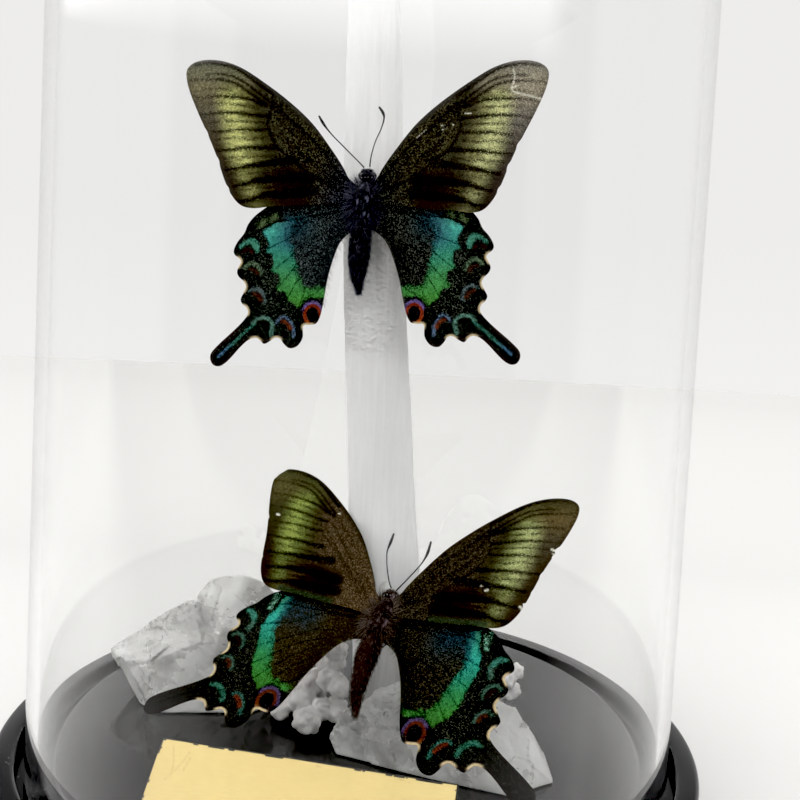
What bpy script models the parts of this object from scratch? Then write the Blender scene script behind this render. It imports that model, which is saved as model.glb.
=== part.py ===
"""Two swallowtail butterflies mounted on a selenite column under a glass dome.

Lengths are in millimetres, and MM turns them into Blender's metres. X runs to the right, Y away from the front
and Z up, from the middle of the base's underside. A point on what stands on the base is given from the base's
top face, which is FLOOR above the origin.
"""

import math
import random

import bmesh
import bpy
from mathutils import Matrix, Vector

MM = 0.001
GAP = 0.3  # left between pieces that touch

# Base: a turned disc with a groove for the glass
BASE_RADIUS = 98.0
BASE_HEIGHT = 18.0
GROOVE_INNER_RADIUS = 83.3
GROOVE_OUTER_RADIUS = 92.2
GROOVE_DEPTH = 5.0
BASE_EDGE = 1.0  # the size of its rounded edges
BASE_STEPS = 56

# Glass dome
DOME_RADIUS = 90.0
DOME_HEIGHT = 300.0
DOME_WALL = 3.0
DOME_STEPS = 40
DOME_ARC_STEPS = 8

FLOOR = BASE_HEIGHT

# Selenite column: height above the floor, centre in x, half width in x, half depth in y
COLUMN_MIDDLE_Y = 5.0
COLUMN_STATIONS = [
    (GAP, 11.2, 12.2, 9.2),
    (18.0, 10.3, 11.7, 8.8),
    (40.0, 8.1, 11.0, 8.3),
    (61.0, 5.9, 10.4, 7.8),
    (92.0, 3.1, 10.1, 7.6),
    (123.0, 0.4, 9.6, 7.2),
    (151.0, -1.3, 9.2, 6.9),
    (181.5, -2.7, 8.5, 6.4),
    (211.0, -4.0, 7.7, 5.8),
    (233.0, -5.1, 7.0, 5.3),
    (241.0, -5.3, 4.8, 3.7),
]
COLUMN_SIDES = 16
COLUMN_SQUARENESS = 2.8  # 2 is an ellipse, more is squarer
COLUMN_TOP_SLANT = 0.35  # the broken top's rise in z over x

# Quartz chunks: the corners of their flat faces
QUARTZ_LEFT = [
    (-64, 0, 0), (-58, -6, 0), (-50, -5.5, 0), (-40, -3.5, 0), (-30, -4, 0),
    (-21, 6, 0), (-24, 28, 0), (-42, 42, 0), (-60, 36, 0), (-67, 16, 0),
    (-77, 10, 12), (-75, 22, 11), (-70, 2, 12), (-71, 11, 16.5), (-62, 10, 23), (-52, 11, 28.5),
    (-58, 30, 18), (-46, -1, 20), (-60, -2, 14),
]
QUARTZ_LEFT_CREST = [
    (-55, 8, 12), (-49, 8, 32), (-46, 10, 35), (-42, 10, 37), (-36, 10, 37), (-29, 11, 34.5),
    (-22, 14, 24), (-17, 10, 8), (-22, 8, 1), (-26, 26, 2), (-40, 32, 29), (-28, 28, 25),
    (-50, 30, 24), (-44, 0, 12), (-30, -1, 20), (-40, -1, 24),
]
QUARTZ_FRONT = [
    (5, -31.5, 0), (20, -38, 0), (39, -45, 0), (52, -38, 0), (53, -24, 0), (44, -13, 0),
    (26, -12.5, 0), (4, -13.5, 0), (5, -25, 17), (16, -19, 19.5), (30, -19, 18), (44, -24, 13.5),
    (49, -28, 7), (20, -33, 13), (37, -38, 9),
]
QUARTZ_FRONT_TOE = [
    (-6, -19, 0), (-4, -27, 0), (8, -32, 0), (12, -14, 0), (-6.3, -24.5, 4), (-2, -26, 11),
    (1, -26, 14), (6, -25, 16), (8, -16, 12), (-3, -17, 7),
]

# White stones: centre and radius of each lump
STONES_LEFT = [
    (-12.9, -17.3, 4.5, 4.2), (-9.5, -8.5, 4.0, 3.7), (-5.4, -8.6, 4.4, 3.9), (-20.9, -9.4, 3.3, 3.0),
    (-23.2, -4.6, 2.9, 2.6), (-15.3, -8.0, 6.2, 4.4), (-18.9, -3.1, 3.6, 3.3), (-12.6, -5.0, 10.4, 4.2),
    (-7.4, -9.6, 13.0, 3.8), (-4.4, -12.2, 12.0, 3.4), (-7.4, -3.4, 16.4, 4.9), (-5.8, -6.8, 20.6, 3.6),
    (-5.2, -14.4, 5.4, 2.9), (-9.0, -13.6, 6.0, 3.6), (-6.6, 3.4, 5.2, 4.6), (-12.2, 0.8, 5.4, 4.6),
    (-6.2, 10.6, 3.9, 3.6), (-7.6, 4.8, 11.4, 3.9),
]
STONES_RIGHT = [
    (30.0, 2.0, 4.4, 4.1), (36.2, 5.2, 4.4, 4.1), (33.0, 9.4, 3.9, 3.7), (37.4, 1.0, 7.4, 3.9),
    (43.4, 6.4, 4.4, 4.2), (48.6, 8.6, 4.2, 3.8), (46.2, 5.4, 9.4, 3.9), (50.0, 6.6, 11.2, 2.8),
]
LUMP_ROUGHNESS = 0.06
LUMP_SEED = 7
LUMP_FINE_FROM = 3.75  # a lump of at least this radius has the finer faces

# Label plate: the middle of its face's top edge, its size, its lean and its turn about Z
LABEL_TOP = (-10.5, -58.0, 14.9)
LABEL_WIDTH = 70.0
LABEL_LENGTH = 18.0
LABEL_THICKNESS = 1.2
LABEL_EDGE = 0.35
LABEL_LEAN = 50.0
LABEL_TURN = -14.0
WEDGE_WIDTH = 56.0
WEDGE_SETBACK = 1.5
WEDGE_HEIGHT = 10.4
WEDGE_LENGTH = 8.75

# Wings, seen from above on the right side: x from the body's axis, y towards the head
WING_THICKNESS = 0.4
WING_LAYER = 0.5  # a forewing lies this far above the middle plane, a hindwing below it
FOREWING = [
    (3.6, 4.3), (5.5, 7.5), (8.5, 11.8), (14.0, 18.7), (20.0, 24.0), (26.5, 28.6), (33.0, 32.5),
    (38.0, 34.2), (42.5, 34.5), (46.0, 33.7), (48.0, 31.9), (48.2, 29.5), (47.3, 26.0), (45.2, 21.0),
    (42.8, 16.0), (40.5, 11.0), (38.8, 6.5), (37.3, 2.5), (35.5, -1.0), (33.0, -3.6), (29.5, -4.3),
    (24.0, -3.6), (17.0, -3.4), (9.5, -2.4), (3.6, -0.5),
]
HINDWING = [
    (3.6, -1.6), (10.0, 0.4), (18.0, 0.4), (24.0, -1.5), (28.9, -4.6), (31.3, -7.2), (32.5, -9.8),
    (34.3, -12.0), (35.4, -14.2), (35.2, -15.6), (33.9, -16.6), (33.5, -17.6), (34.2, -19.0),
    (34.6, -20.3), (34.1, -21.6), (32.8, -22.8), (32.2, -24.3), (32.9, -26.0), (33.7, -27.8),
    (33.1, -29.1), (32.1, -29.9), (31.7, -31.3), (32.4, -32.8), (34.2, -34.8), (36.9, -37.3),
    (39.6, -39.7), (42.0, -42.3), (42.3, -44.2), (41.4, -45.7), (39.8, -46.0), (38.0, -45.0),
    (36.0, -43.0), (34.0, -40.8), (31.7, -38.8), (29.6, -38.2), (28.4, -39.0), (27.4, -39.9),
    (26.0, -39.3), (24.3, -38.2), (22.9, -38.5), (22.0, -39.8), (20.4, -41.1), (18.2, -40.5),
    (16.7, -38.2), (16.5, -35.0), (14.4, -34.7), (12.8, -34.2), (11.7, -32.0), (10.9, -28.5),
    (9.8, -22.5), (8.2, -17.0), (6.3, -12.5), (4.5, -9.5), (3.7, -7.0),
]
OUTLINE_STEPS = 2  # segments between two outline points

# Each butterfly: its middle above the floor, its turns about X, Y and Z in degrees (applied Y, X, Z), its size
# against the outlines, and for each wing its rise towards the viewer, its turn in its plane and its twist.
# The body is (x, z, radius) along its axis, an antenna (x, y, z) from the head, both in the butterfly's own frame.
BUTTERFLIES = {
    "upper": {
        "middle": (-4.5, -9.0, 151.1),
        "turns": (0.0, -2.2, -6.0),
        "size": 1.028,
        "wings": {
            "forewing_left": (5.0, 1.1, 0.0),
            "forewing_right": (8.4, -1.8, 0.0),
            "hindwing_left": (3.5, -0.8, 0.0),
            "hindwing_right": (7.4, 1.3, 0.0),
        },
        "body": [
            (1.3, 7.2, 0.8), (1.3, 6.5, 1.5), (1.3, 5.3, 1.9), (1.1, 4.1, 1.6), (0.9, 3.3, 1.9),
            (0.6, 1.9, 2.7), (0.4, -0.4, 3.0), (0.2, -2.8, 3.0), (0.0, -5.1, 2.8), (-0.2, -7.0, 2.4),
            (-0.4, -8.6, 2.7), (-0.5, -11.9, 3.1), (-0.7, -16.1, 3.1), (-1.0, -19.7, 2.7),
            (-1.1, -23.1, 1.8), (-0.9, -25.7, 0.9), (-0.8, -26.9, 0.4),
        ],
        "antenna_left": [(0.4, -0.6, 7.8), (-1.2, -0.9, 9.4), (-3.4, -1.2, 11.5), (-7.7, -1.5, 15.7),
                         (-9.7, -1.5, 17.9), (-11.1, -1.5, 19.8), (-12.2, -1.5, 21.7)],
        "antenna_right": [(2.0, -0.6, 7.9), (2.4, -1.1, 10.7), (3.5, -1.4, 14.5), (5.1, -1.5, 18.0),
                          (5.9, -1.5, 20.8), (5.6, -1.5, 22.4), (4.5, -1.5, 24.0)],
        "glue": [(-3.9, -5.4, 149.5, 1.6), (-3.6, -4.0, 149.5, 1.4), (-3.0, -2.6, 149.5, 2.0)],
    },
    "lower": {
        "middle": (6.5, -25.2, 39.0),
        "turns": (-50.1, 0.2, -23.2),
        "size": 1.04,
        "wings": {
            "forewing_left": (8.2, 4.5, 1.8),
            "forewing_right": (8.2, 4.3, 2.8),
            "hindwing_left": (5.8, 6.9, -1.0),
            "hindwing_right": (4.7, 6.9, -2.9),
        },
        "body": [
            (0.6, 6.3, 0.8), (0.7, 5.6, 1.4), (0.8, 4.5, 1.8), (0.8, 3.3, 1.5), (0.8, 2.5, 1.9),
            (0.5, 0.7, 2.7), (0.4, -1.4, 2.9), (0.4, -4.0, 2.9), (0.5, -6.2, 2.7), (0.5, -8.0, 2.3),
            (0.4, -9.6, 2.7), (0.4, -12.5, 3.0), (0.5, -16.0, 2.7), (0.8, -19.8, 2.2),
            (1.5, -24.0, 1.8), (2.4, -27.2, 1.1), (3.2, -29.2, 0.4),
        ],
        "antenna_left": [(0.3, -1.0, 6.9), (-1.0, -1.4, 8.9), (-3.1, -1.5, 13.4), (-4.5, -1.5, 17.3),
                         (-4.8, -1.5, 19.1), (-4.8, -1.5, 21.6), (-4.9, -1.5, 24.6)],
        "antenna_right": [(1.9, -0.9, 6.4), (2.8, -1.3, 7.8), (3.8, -1.5, 9.6), (5.8, -1.5, 14.3),
                          (6.7, -1.5, 17.2), (7.0, -1.5, 20.0), (6.8, -1.5, 23.6)],
        "glue": [(7.1, -21.6, 36.2, 1.4), (7.6, -14.0, 38.0, 1.2), (8.0, -4.2, 39.5, 2.2)],
    },
}
BODY_BEVEL = 3
EYE_RADIUS = 1.0
EYE_SPREAD = 1.6
EYE_STATION = 2  # the body station that the eyes sit on
ANTENNA_RADII = [0.22, 0.22, 0.22, 0.22, 0.26, 0.42, 0.3]
LEG_RADIUS = 0.3
LEG_STATIONS = (1.5, -1.5, -4.2)  # along the body
LEG_ROUTE = [(1.0, 1.7, 0.0), (2.6, 3.0, 0.8), (3.2, 3.9, -1.2), (2.4, 4.3, -4.2), (2.0, 4.0, -5.6)]

COLOURS = {  # base colour, roughness, metallic, transmission
    "gloss black": ((0.010, 0.010, 0.011), 0.12, 0.0, 0.0),
    "clear glass": ((0.97, 0.98, 0.98), 0.02, 0.0, 1.0),
    "selenite": ((0.84, 0.84, 0.83), 0.35, 0.0, 0.3),
    "quartz": ((0.86, 0.87, 0.87), 0.18, 0.0, 0.6),
    "white stone": ((0.82, 0.80, 0.78), 0.6, 0.0, 0.1),
    "gold face": ((0.80, 0.58, 0.22), 0.32, 0.9, 0.0),
    "matt black": ((0.015, 0.015, 0.015), 0.6, 0.0, 0.0),
    "black scales": ((0.012, 0.011, 0.012), 0.55, 0.0, 0.0),
    "green scales": ((0.050, 0.075, 0.025), 0.5, 0.0, 0.0),
    "teal scales": ((0.012, 0.055, 0.050), 0.5, 0.0, 0.0),
    "clear glue": ((0.90, 0.90, 0.88), 0.15, 0.0, 0.8),
}


def clear_scene():
    for obj in list(bpy.data.objects):
        bpy.data.objects.remove(obj, do_unlink=True)


def make_collection(name):
    collection = bpy.data.collections.new(name)
    bpy.context.scene.collection.children.link(collection)
    return collection


def make_material(name):
    colour, roughness, metallic, transmission = COLOURS[name]
    material = bpy.data.materials.new(name)
    material.use_nodes = True
    shader = material.node_tree.nodes["Principled BSDF"]
    shader.inputs["Base Color"].default_value = (*colour, 1.0)
    shader.inputs["Roughness"].default_value = roughness
    shader.inputs["Metallic"].default_value = metallic
    shader.inputs["Transmission Weight"].default_value = transmission
    return material


def add(name, data, material=None, parent=None):
    """A new object in the parts' collection."""
    obj = bpy.data.objects.new(name, data)
    PARTS.objects.link(obj)
    obj.parent = parent
    if material:
        data.materials.append(MATERIALS[material])
    return obj


def from_floor(point):
    """A point above the base's top face, in metres from the origin."""
    x, y, z = point
    return Vector((x, y, z + FLOOR)) * MM


def as_mesh(obj, merge=0.00001):
    """The object made a plain mesh at its place, with its modifiers applied and its caps welded."""
    bpy.context.view_layer.update()
    evaluated = obj.evaluated_get(bpy.context.evaluated_depsgraph_get())
    mesh = bpy.data.meshes.new_from_object(evaluated)
    welded = bmesh.new()
    welded.from_mesh(mesh)
    bmesh.ops.remove_doubles(welded, verts=welded.verts, dist=merge)
    bmesh.ops.recalc_face_normals(welded, faces=welded.faces)
    welded.to_mesh(mesh)
    welded.free()
    made = bpy.data.objects.new(obj.name, mesh)
    PARTS.objects.link(made)
    made.parent = obj.parent
    made.matrix_world = obj.matrix_world
    name = obj.name
    bpy.data.objects.remove(obj, do_unlink=True)
    made.name = name
    return made


def smooth_shaded(obj, sharp_angle=35.0):
    obj.data.shade_smooth()
    obj.data.set_sharp_from_angle(angle=math.radians(sharp_angle))
    return obj


def fused(pieces):
    """The first piece joined with the others in one closed solid."""
    body = pieces[0]
    for other in pieces[1:]:
        union = body.modifiers.new("union", "BOOLEAN")
        union.operation = "UNION"
        union.solver = "EXACT"
        union.object = other
    joined = as_mesh(body)
    for other in pieces[1:]:
        bpy.data.objects.remove(other, do_unlink=True)
    return joined


def turned(name, profile, steps, material):
    """A profile of (radius, height) points turned about Z, running down its outer side."""
    mesh = bpy.data.meshes.new(name)
    mesh.from_pydata([(r * MM, 0, z * MM) for r, z in profile], [(i, i + 1) for i in range(len(profile) - 1)], [])
    obj = add(name, mesh, material)
    screw = obj.modifiers.new("turn", "SCREW")
    screw.axis = "Z"
    screw.angle = math.tau
    screw.steps = steps
    screw.render_steps = steps
    screw.use_merge_vertices = True
    screw.merge_threshold = 0.00001
    return obj


def hull(name, corners, material):
    """A flat-faced chunk: the convex solid with these corners."""
    chunk = bmesh.new()
    verts = [chunk.verts.new(from_floor((x, y, z + GAP))) for x, y, z in corners]
    made = bmesh.ops.convex_hull(chunk, input=verts)
    spare = {v for v in made["geom_interior"] + made["geom_unused"] if isinstance(v, bmesh.types.BMVert)}
    bmesh.ops.delete(chunk, geom=list(spare), context="VERTS")
    mesh = bpy.data.meshes.new(name)
    chunk.to_mesh(mesh)
    chunk.free()
    return add(name, mesh, material)


def lump(name, centre, radius, chance, material=None):
    """A slightly uneven round lump."""
    ball = bmesh.new()
    subdivisions = 2 if radius > LUMP_FINE_FROM else 1
    bmesh.ops.create_icosphere(ball, subdivisions=subdivisions, radius=radius * MM)
    for vert in ball.verts:
        vert.co *= 1.0 + chance.uniform(-LUMP_ROUGHNESS, LUMP_ROUGHNESS)
        vert.co += from_floor(centre)
    mesh = bpy.data.meshes.new(name)
    ball.to_mesh(mesh)
    ball.free()
    return add(name, mesh, material)


def heap(name, lumps, chance):
    """Rounded stones stuck together in one heap."""
    pieces = [lump(f"{name}_lump", (x, y, z + GAP), r, chance, "white stone") for x, y, z, r in lumps]
    pieces[0].name = name
    return fused(pieces)


def loft(name, rings, material):
    """A closed solid through rings of equal numbers of points, with flat ends."""
    made = bmesh.new()
    rows = [[made.verts.new(point) for point in ring] for ring in rings]
    made.faces.new(list(reversed(rows[0])))
    made.faces.new(rows[-1])
    for low, high in zip(rows, rows[1:]):
        for i in range(len(low)):
            j = (i + 1) % len(low)
            made.faces.new((low[i], low[j], high[j], high[i]))
    mesh = bpy.data.meshes.new(name)
    made.to_mesh(mesh)
    made.free()
    return add(name, mesh, material)


def tube(name, points, radii, bevel_resolution, parent=None, material=None):
    """A round bar along points in metres, with its own radius in millimetres at each of them."""
    curve = bpy.data.curves.new(name, "CURVE")
    curve.dimensions = "3D"
    curve.bevel_depth = max(radii) * MM
    curve.bevel_resolution = bevel_resolution
    curve.use_fill_caps = True
    spline = curve.splines.new("POLY")
    spline.points.add(len(points) - 1)
    for knot, point, radius in zip(spline.points, points, radii):
        knot.co = (*point, 1.0)
        knot.radius = radius / max(radii)
    return add(name, curve, material, parent)


def catmull_rom(points, steps):
    """Points along a smooth curve through the given ones, open at its ends."""
    made = []
    last = len(points) - 1
    for i in range(last):
        before, start, end, after = (Vector(points[min(max(k, 0), last)]) for k in (i - 1, i, i + 1, i + 2))
        for step in range(steps):
            t = step / steps
            made.append(0.5 * (2 * start + (end - before) * t + (2 * before - 5 * start + 4 * end - after) * t**2
                               + (3 * start - before - 3 * end + after) * t**3))
    made.append(Vector(points[-1]))
    return made


def flat_piece(name, outline, thickness, material, parent=None):
    """An outline in metres, extruded to a sheet of this thickness in millimetres."""
    curve = bpy.data.curves.new(name, "CURVE")
    curve.dimensions = "2D"
    curve.fill_mode = "BOTH"
    curve.extrude = thickness * MM / 2
    spline = curve.splines.new("POLY")
    spline.points.add(len(outline) - 1)
    for knot, point in zip(spline.points, outline):
        knot.co = (point[0], point[1], 0.0, 1.0)
    spline.use_cyclic_u = True
    return add(name, curve, material, parent)


def make_base():
    top, floor = BASE_HEIGHT, BASE_HEIGHT - GROOVE_DEPTH
    edge = BASE_EDGE
    profile = [
        (0, top), (GROOVE_INNER_RADIUS - edge, top), (GROOVE_INNER_RADIUS, top - edge),
        (GROOVE_INNER_RADIUS, floor), (GROOVE_OUTER_RADIUS, floor), (GROOVE_OUTER_RADIUS, top - edge),
        (GROOVE_OUTER_RADIUS + edge, top), (BASE_RADIUS - edge, top), (BASE_RADIUS, top - edge),
        (BASE_RADIUS, edge), (BASE_RADIUS - edge, 0), (0, 0),
    ]
    smooth_shaded(as_mesh(turned("base", profile, BASE_STEPS, "gloss black")))


def make_dome():
    foot = BASE_HEIGHT - GROOVE_DEPTH + GAP
    spring_line = foot + DOME_HEIGHT - DOME_RADIUS
    profile = []
    for i in range(DOME_ARC_STEPS + 1):
        angle = math.pi / 2 * i / DOME_ARC_STEPS
        profile.append((DOME_RADIUS * math.sin(angle), spring_line + DOME_RADIUS * math.cos(angle)))
    profile.append((DOME_RADIUS, foot))
    dome = turned("glass_dome", profile, DOME_STEPS, "clear glass")
    wall = dome.modifiers.new("wall", "SOLIDIFY")
    wall.thickness = DOME_WALL * MM
    wall.offset = -1
    smooth_shaded(as_mesh(dome))


def make_column():
    rings = []
    for height, centre, half_width, half_depth in COLUMN_STATIONS:
        ring = []
        for i in range(COLUMN_SIDES):
            angle = math.tau * (i + 0.5) / COLUMN_SIDES
            c, s = math.cos(angle), math.sin(angle)
            reach = (abs(c) ** COLUMN_SQUARENESS + abs(s) ** COLUMN_SQUARENESS) ** (-1 / COLUMN_SQUARENESS)
            slant = COLUMN_TOP_SLANT * half_width * reach * c if height > COLUMN_STATIONS[-3][0] else 0.0
            x, y = centre + half_width * reach * c, COLUMN_MIDDLE_Y + half_depth * reach * s
            ring.append(from_floor((x, y, height + slant)))
        rings.append(ring)
    loft("selenite_column", rings, "selenite")


def make_stones():
    chance = random.Random(LUMP_SEED)
    fused([hull("quartz_left", QUARTZ_LEFT, "quartz"), hull("quartz_left_crest", QUARTZ_LEFT_CREST, "quartz")])
    fused([hull("quartz_front", QUARTZ_FRONT, "quartz"), hull("quartz_front_toe", QUARTZ_FRONT_TOE, "quartz")])
    smooth_shaded(heap("white_stones_left", STONES_LEFT, chance), 60.0)
    smooth_shaded(heap("white_stones_right", STONES_RIGHT, chance), 60.0)


def make_label():
    turn = Matrix.Rotation(math.radians(LABEL_TURN), 4, "Z")
    place = Matrix.Translation(from_floor(LABEL_TOP)) @ turn
    mesh = bpy.data.meshes.new("label_plate")
    plate = bmesh.new()
    bmesh.ops.create_cube(plate, size=MM)
    bmesh.ops.scale(plate, verts=plate.verts, vec=(LABEL_WIDTH, LABEL_LENGTH, LABEL_THICKNESS))
    bmesh.ops.translate(plate, verts=plate.verts, vec=(0, -LABEL_LENGTH * MM / 2, -LABEL_THICKNESS * MM / 2))
    plate.to_mesh(mesh)
    plate.free()
    label = add("label_plate", mesh, "gold face")
    label.matrix_world = place @ Matrix.Rotation(math.radians(LABEL_LEAN), 4, "X")
    bevel = label.modifiers.new("edge", "BEVEL")
    bevel.width = LABEL_EDGE * MM
    bevel.segments = 1

    low = GAP - LABEL_TOP[2]
    corners = [(-WEDGE_SETBACK, low), (-WEDGE_SETBACK, low + WEDGE_HEIGHT), (-WEDGE_SETBACK - WEDGE_LENGTH, low)]
    wedge = flat_piece("label_wedge", [(y * MM, z * MM) for y, z in corners], WEDGE_WIDTH, "matt black")
    stand_up = Matrix(((0, 0, 1, 0), (1, 0, 0, 0), (0, 1, 0, 0), (0, 0, 0, 1)))
    wedge.matrix_world = place @ stand_up


def make_wing(butterfly, key, shape, parent):
    """One wing as a flat sheet, posed about the body's axis."""
    rise, turn, twist = shape["wings"][key]
    side = 1 if key.endswith("right") else -1
    is_forewing = key.startswith("forewing")
    points = catmull_rom(FOREWING if is_forewing else HINDWING, OUTLINE_STEPS)
    outline = [(side * x * shape["size"] * MM, y * shape["size"] * MM) for x, y in points]
    material = "green scales" if is_forewing else "teal scales"
    wing = flat_piece(f"{butterfly}_{key}", outline, WING_THICKNESS, material, parent)
    layer = WING_LAYER if is_forewing else -WING_LAYER
    wing.matrix_local = (
        Matrix.Rotation(math.pi / 2, 4, "X")
        @ Matrix.Rotation(-side * math.radians(rise), 4, "Y")
        @ Matrix.Rotation(math.radians(twist), 4, "X")
        @ Matrix.Rotation(side * math.radians(turn), 4, "Z")
        @ Matrix.Translation((0, 0, layer * MM))
    )


def make_body(butterfly, shape, parent):
    """Head, thorax, abdomen, eyes and tucked legs in one solid."""
    stations = shape["body"]
    points = [Vector((x, 0, z)) * MM for x, z, _ in stations]
    name = f"{butterfly}_body"
    pieces = [as_mesh(tube(name, points, [r for _, _, r in stations], BODY_BEVEL, parent, "black scales"))]
    for side in (-1, 1):
        eye = bmesh.new()
        bmesh.ops.create_icosphere(eye, subdivisions=2, radius=EYE_RADIUS * MM)
        mesh = bpy.data.meshes.new("eye")
        eye.to_mesh(mesh)
        eye.free()
        ball = add("eye", mesh, "black scales", parent)
        ball.location = points[EYE_STATION] + Vector((side * EYE_SPREAD, -0.3, 0.3)) * MM
        pieces.append(ball)
        for start in LEG_STATIONS:
            middle = next(x for x, z, _ in stations if z < start)
            route = [Vector((middle + side * x, y, z + start)) * MM for x, y, z in LEG_ROUTE]
            pieces.append(as_mesh(tube("leg", route, [LEG_RADIUS] * len(route), 0, parent, "black scales")))
    smooth_shaded(fused(pieces), 50.0)


def make_butterfly(butterfly, shape):
    middle = bpy.data.objects.new(f"{butterfly}_butterfly", None)
    PARTS.objects.link(middle)
    middle.location = from_floor(shape["middle"])
    middle.rotation_mode = "YXZ"
    middle.rotation_euler = [math.radians(turn) for turn in shape["turns"]]
    bpy.context.view_layer.update()
    for key in shape["wings"]:
        make_wing(butterfly, key, shape, middle)
    make_body(butterfly, shape, middle)
    for key in ("antenna_left", "antenna_right"):
        points = [Vector(point) * MM for point in shape[key]]
        tube(f"{butterfly}_{key}", points, ANTENNA_RADII, 1, middle, "black scales")
    route = [from_floor(place[:3]) for place in shape["glue"]]
    tube(f"{butterfly}_glue", route, [place[3] for place in shape["glue"]], 1, None, "clear glue")


clear_scene()
MATERIALS = {name: make_material(name) for name in COLOURS}
PARTS = make_collection("insect in glass dome")
make_base()
make_dome()
make_column()
make_stones()
make_label()
for butterfly, shape in BUTTERFLIES.items():
    make_butterfly(butterfly, shape)
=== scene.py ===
"""Two swallowtail butterflies on a selenite column under a glass dome: the finished look of every piece.

Lengths are in millimetres, and MM turns them into Blender's metres. X runs to the right, Y away from the
front and Z up, from the middle of the base's underside. A point on what stands on the base is given from the
base's top face, which is FLOOR above the origin. A wing's own coordinates are (u, v): u out from the body's
axis and v towards the head, the same for left and right.
"""

import itertools
import math
import random

import bmesh
import bpy
import numpy as np
from mathutils import Matrix, Vector
from mathutils.geometry import delaunay_2d_cdt


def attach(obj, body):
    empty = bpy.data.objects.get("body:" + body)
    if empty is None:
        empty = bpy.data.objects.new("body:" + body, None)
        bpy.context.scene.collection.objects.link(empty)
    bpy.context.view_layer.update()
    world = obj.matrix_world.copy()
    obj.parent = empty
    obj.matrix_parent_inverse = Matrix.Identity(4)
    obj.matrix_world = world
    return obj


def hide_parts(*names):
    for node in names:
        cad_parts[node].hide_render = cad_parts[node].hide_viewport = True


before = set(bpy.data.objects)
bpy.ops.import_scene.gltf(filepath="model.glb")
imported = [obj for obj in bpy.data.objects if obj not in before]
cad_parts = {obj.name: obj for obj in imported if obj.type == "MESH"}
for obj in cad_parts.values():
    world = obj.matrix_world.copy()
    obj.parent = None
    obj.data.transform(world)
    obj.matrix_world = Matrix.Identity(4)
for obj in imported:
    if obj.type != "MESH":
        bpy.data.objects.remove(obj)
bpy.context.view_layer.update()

MM = 0.001

# ---------------------------------------------------------------- driving sizes, as in the solids

BASE_TOP = 18.0
FLOOR = BASE_TOP
BASE_RADIUS = 98.0
GROOVE_INNER_RADIUS = 83.3
GROOVE_OUTER_RADIUS = 92.2
GROOVE_DEPTH = 5.0
BASE_EDGE = 1.0
BASE_STEPS = 224

DOME_RADIUS = 90.0
DOME_WALL = 3.0
DOME_FOOT = 13.3
DOME_SPRING = 223.3  # the height where the cylinder ends and the half sphere starts
DOME_STEPS = 160

COLUMN_MIDDLE_Y = 5.0
COLUMN_STATIONS = [  # height above the floor, centre in x, half width, half depth
    (0.3, 11.2, 12.2, 9.2), (18.0, 10.3, 11.7, 8.8), (40.0, 8.1, 11.0, 8.3), (61.0, 5.9, 10.4, 7.8),
    (92.0, 3.1, 10.1, 7.6), (123.0, 0.4, 9.6, 7.2), (151.0, -1.3, 9.2, 6.9), (181.5, -2.7, 8.5, 6.4),
    (211.0, -4.0, 7.7, 5.8), (233.0, -5.1, 7.0, 5.3), (241.0, -5.3, 4.8, 3.7),
]
COLUMN_SQUARENESS = 2.8
COLUMN_TOP_SLANT = 0.35
COLUMN_ROUGH_PATCH = (106.0, 143.0)  # heights of the wrinkled stretch below the upper butterfly
COLUMN_SIDES = 132
COLUMN_ROWS = (62, 165, 54, 22)  # below the wrinkled stretch, along it, above it and at the broken top

QUARTZ_LEFT = [
    (-64, 0, 0), (-58, -6, 0), (-50, -5.5, 0), (-40, -3.5, 0), (-30, -4, 0),
    (-21, 6, 0), (-24, 28, 0), (-42, 42, 0), (-60, 36, 0), (-67, 16, 0),
    (-77, 10, 12), (-75, 22, 11), (-70, 2, 12), (-71, 11, 16.5), (-62, 10, 23), (-52, 11, 28.5),
    (-58, 30, 18), (-46, -1, 20), (-60, -2, 14),
]
QUARTZ_LEFT_CREST = [
    (-55, 8, 12), (-49, 8, 32), (-46, 10, 35), (-42, 10, 37), (-36, 10, 37), (-29, 11, 34.5),
    (-22, 14, 24), (-17, 10, 8), (-22, 8, 1), (-26, 26, 2), (-40, 32, 29), (-28, 28, 25),
    (-50, 30, 24), (-44, 0, 12), (-30, -1, 20), (-40, -1, 24),
]
QUARTZ_FRONT = [
    (5, -31.5, 0), (20, -38, 0), (39, -45, 0), (52, -38, 0), (53, -24, 0), (44, -13, 0),
    (26, -12.5, 0), (4, -13.5, 0), (5, -25, 17), (16, -19, 19.5), (30, -19, 18), (44, -24, 13.5),
    (49, -28, 7), (20, -33, 13), (37, -38, 9),
]
QUARTZ_FRONT_TOE = [
    (-6, -19, 0), (-4, -27, 0), (8, -32, 0), (12, -14, 0), (-6.3, -24.5, 4), (-2, -26, 11),
    (1, -26, 14), (6, -25, 16), (8, -16, 12), (-3, -17, 7),
]
QUARTZ_SPACING = 0.5  # between the points of its mesh
QUARTZ_CRESTS = {  # x and height along the top of each, where the crystal is broken small
    "left": [(-77, 13), (-70, 17), (-62, 23), (-52, 28.5), (-46, 35), (-38, 60)],
    "front": [(-7, 6), (0, 14), (10, 17), (14, 40)],
}
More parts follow.
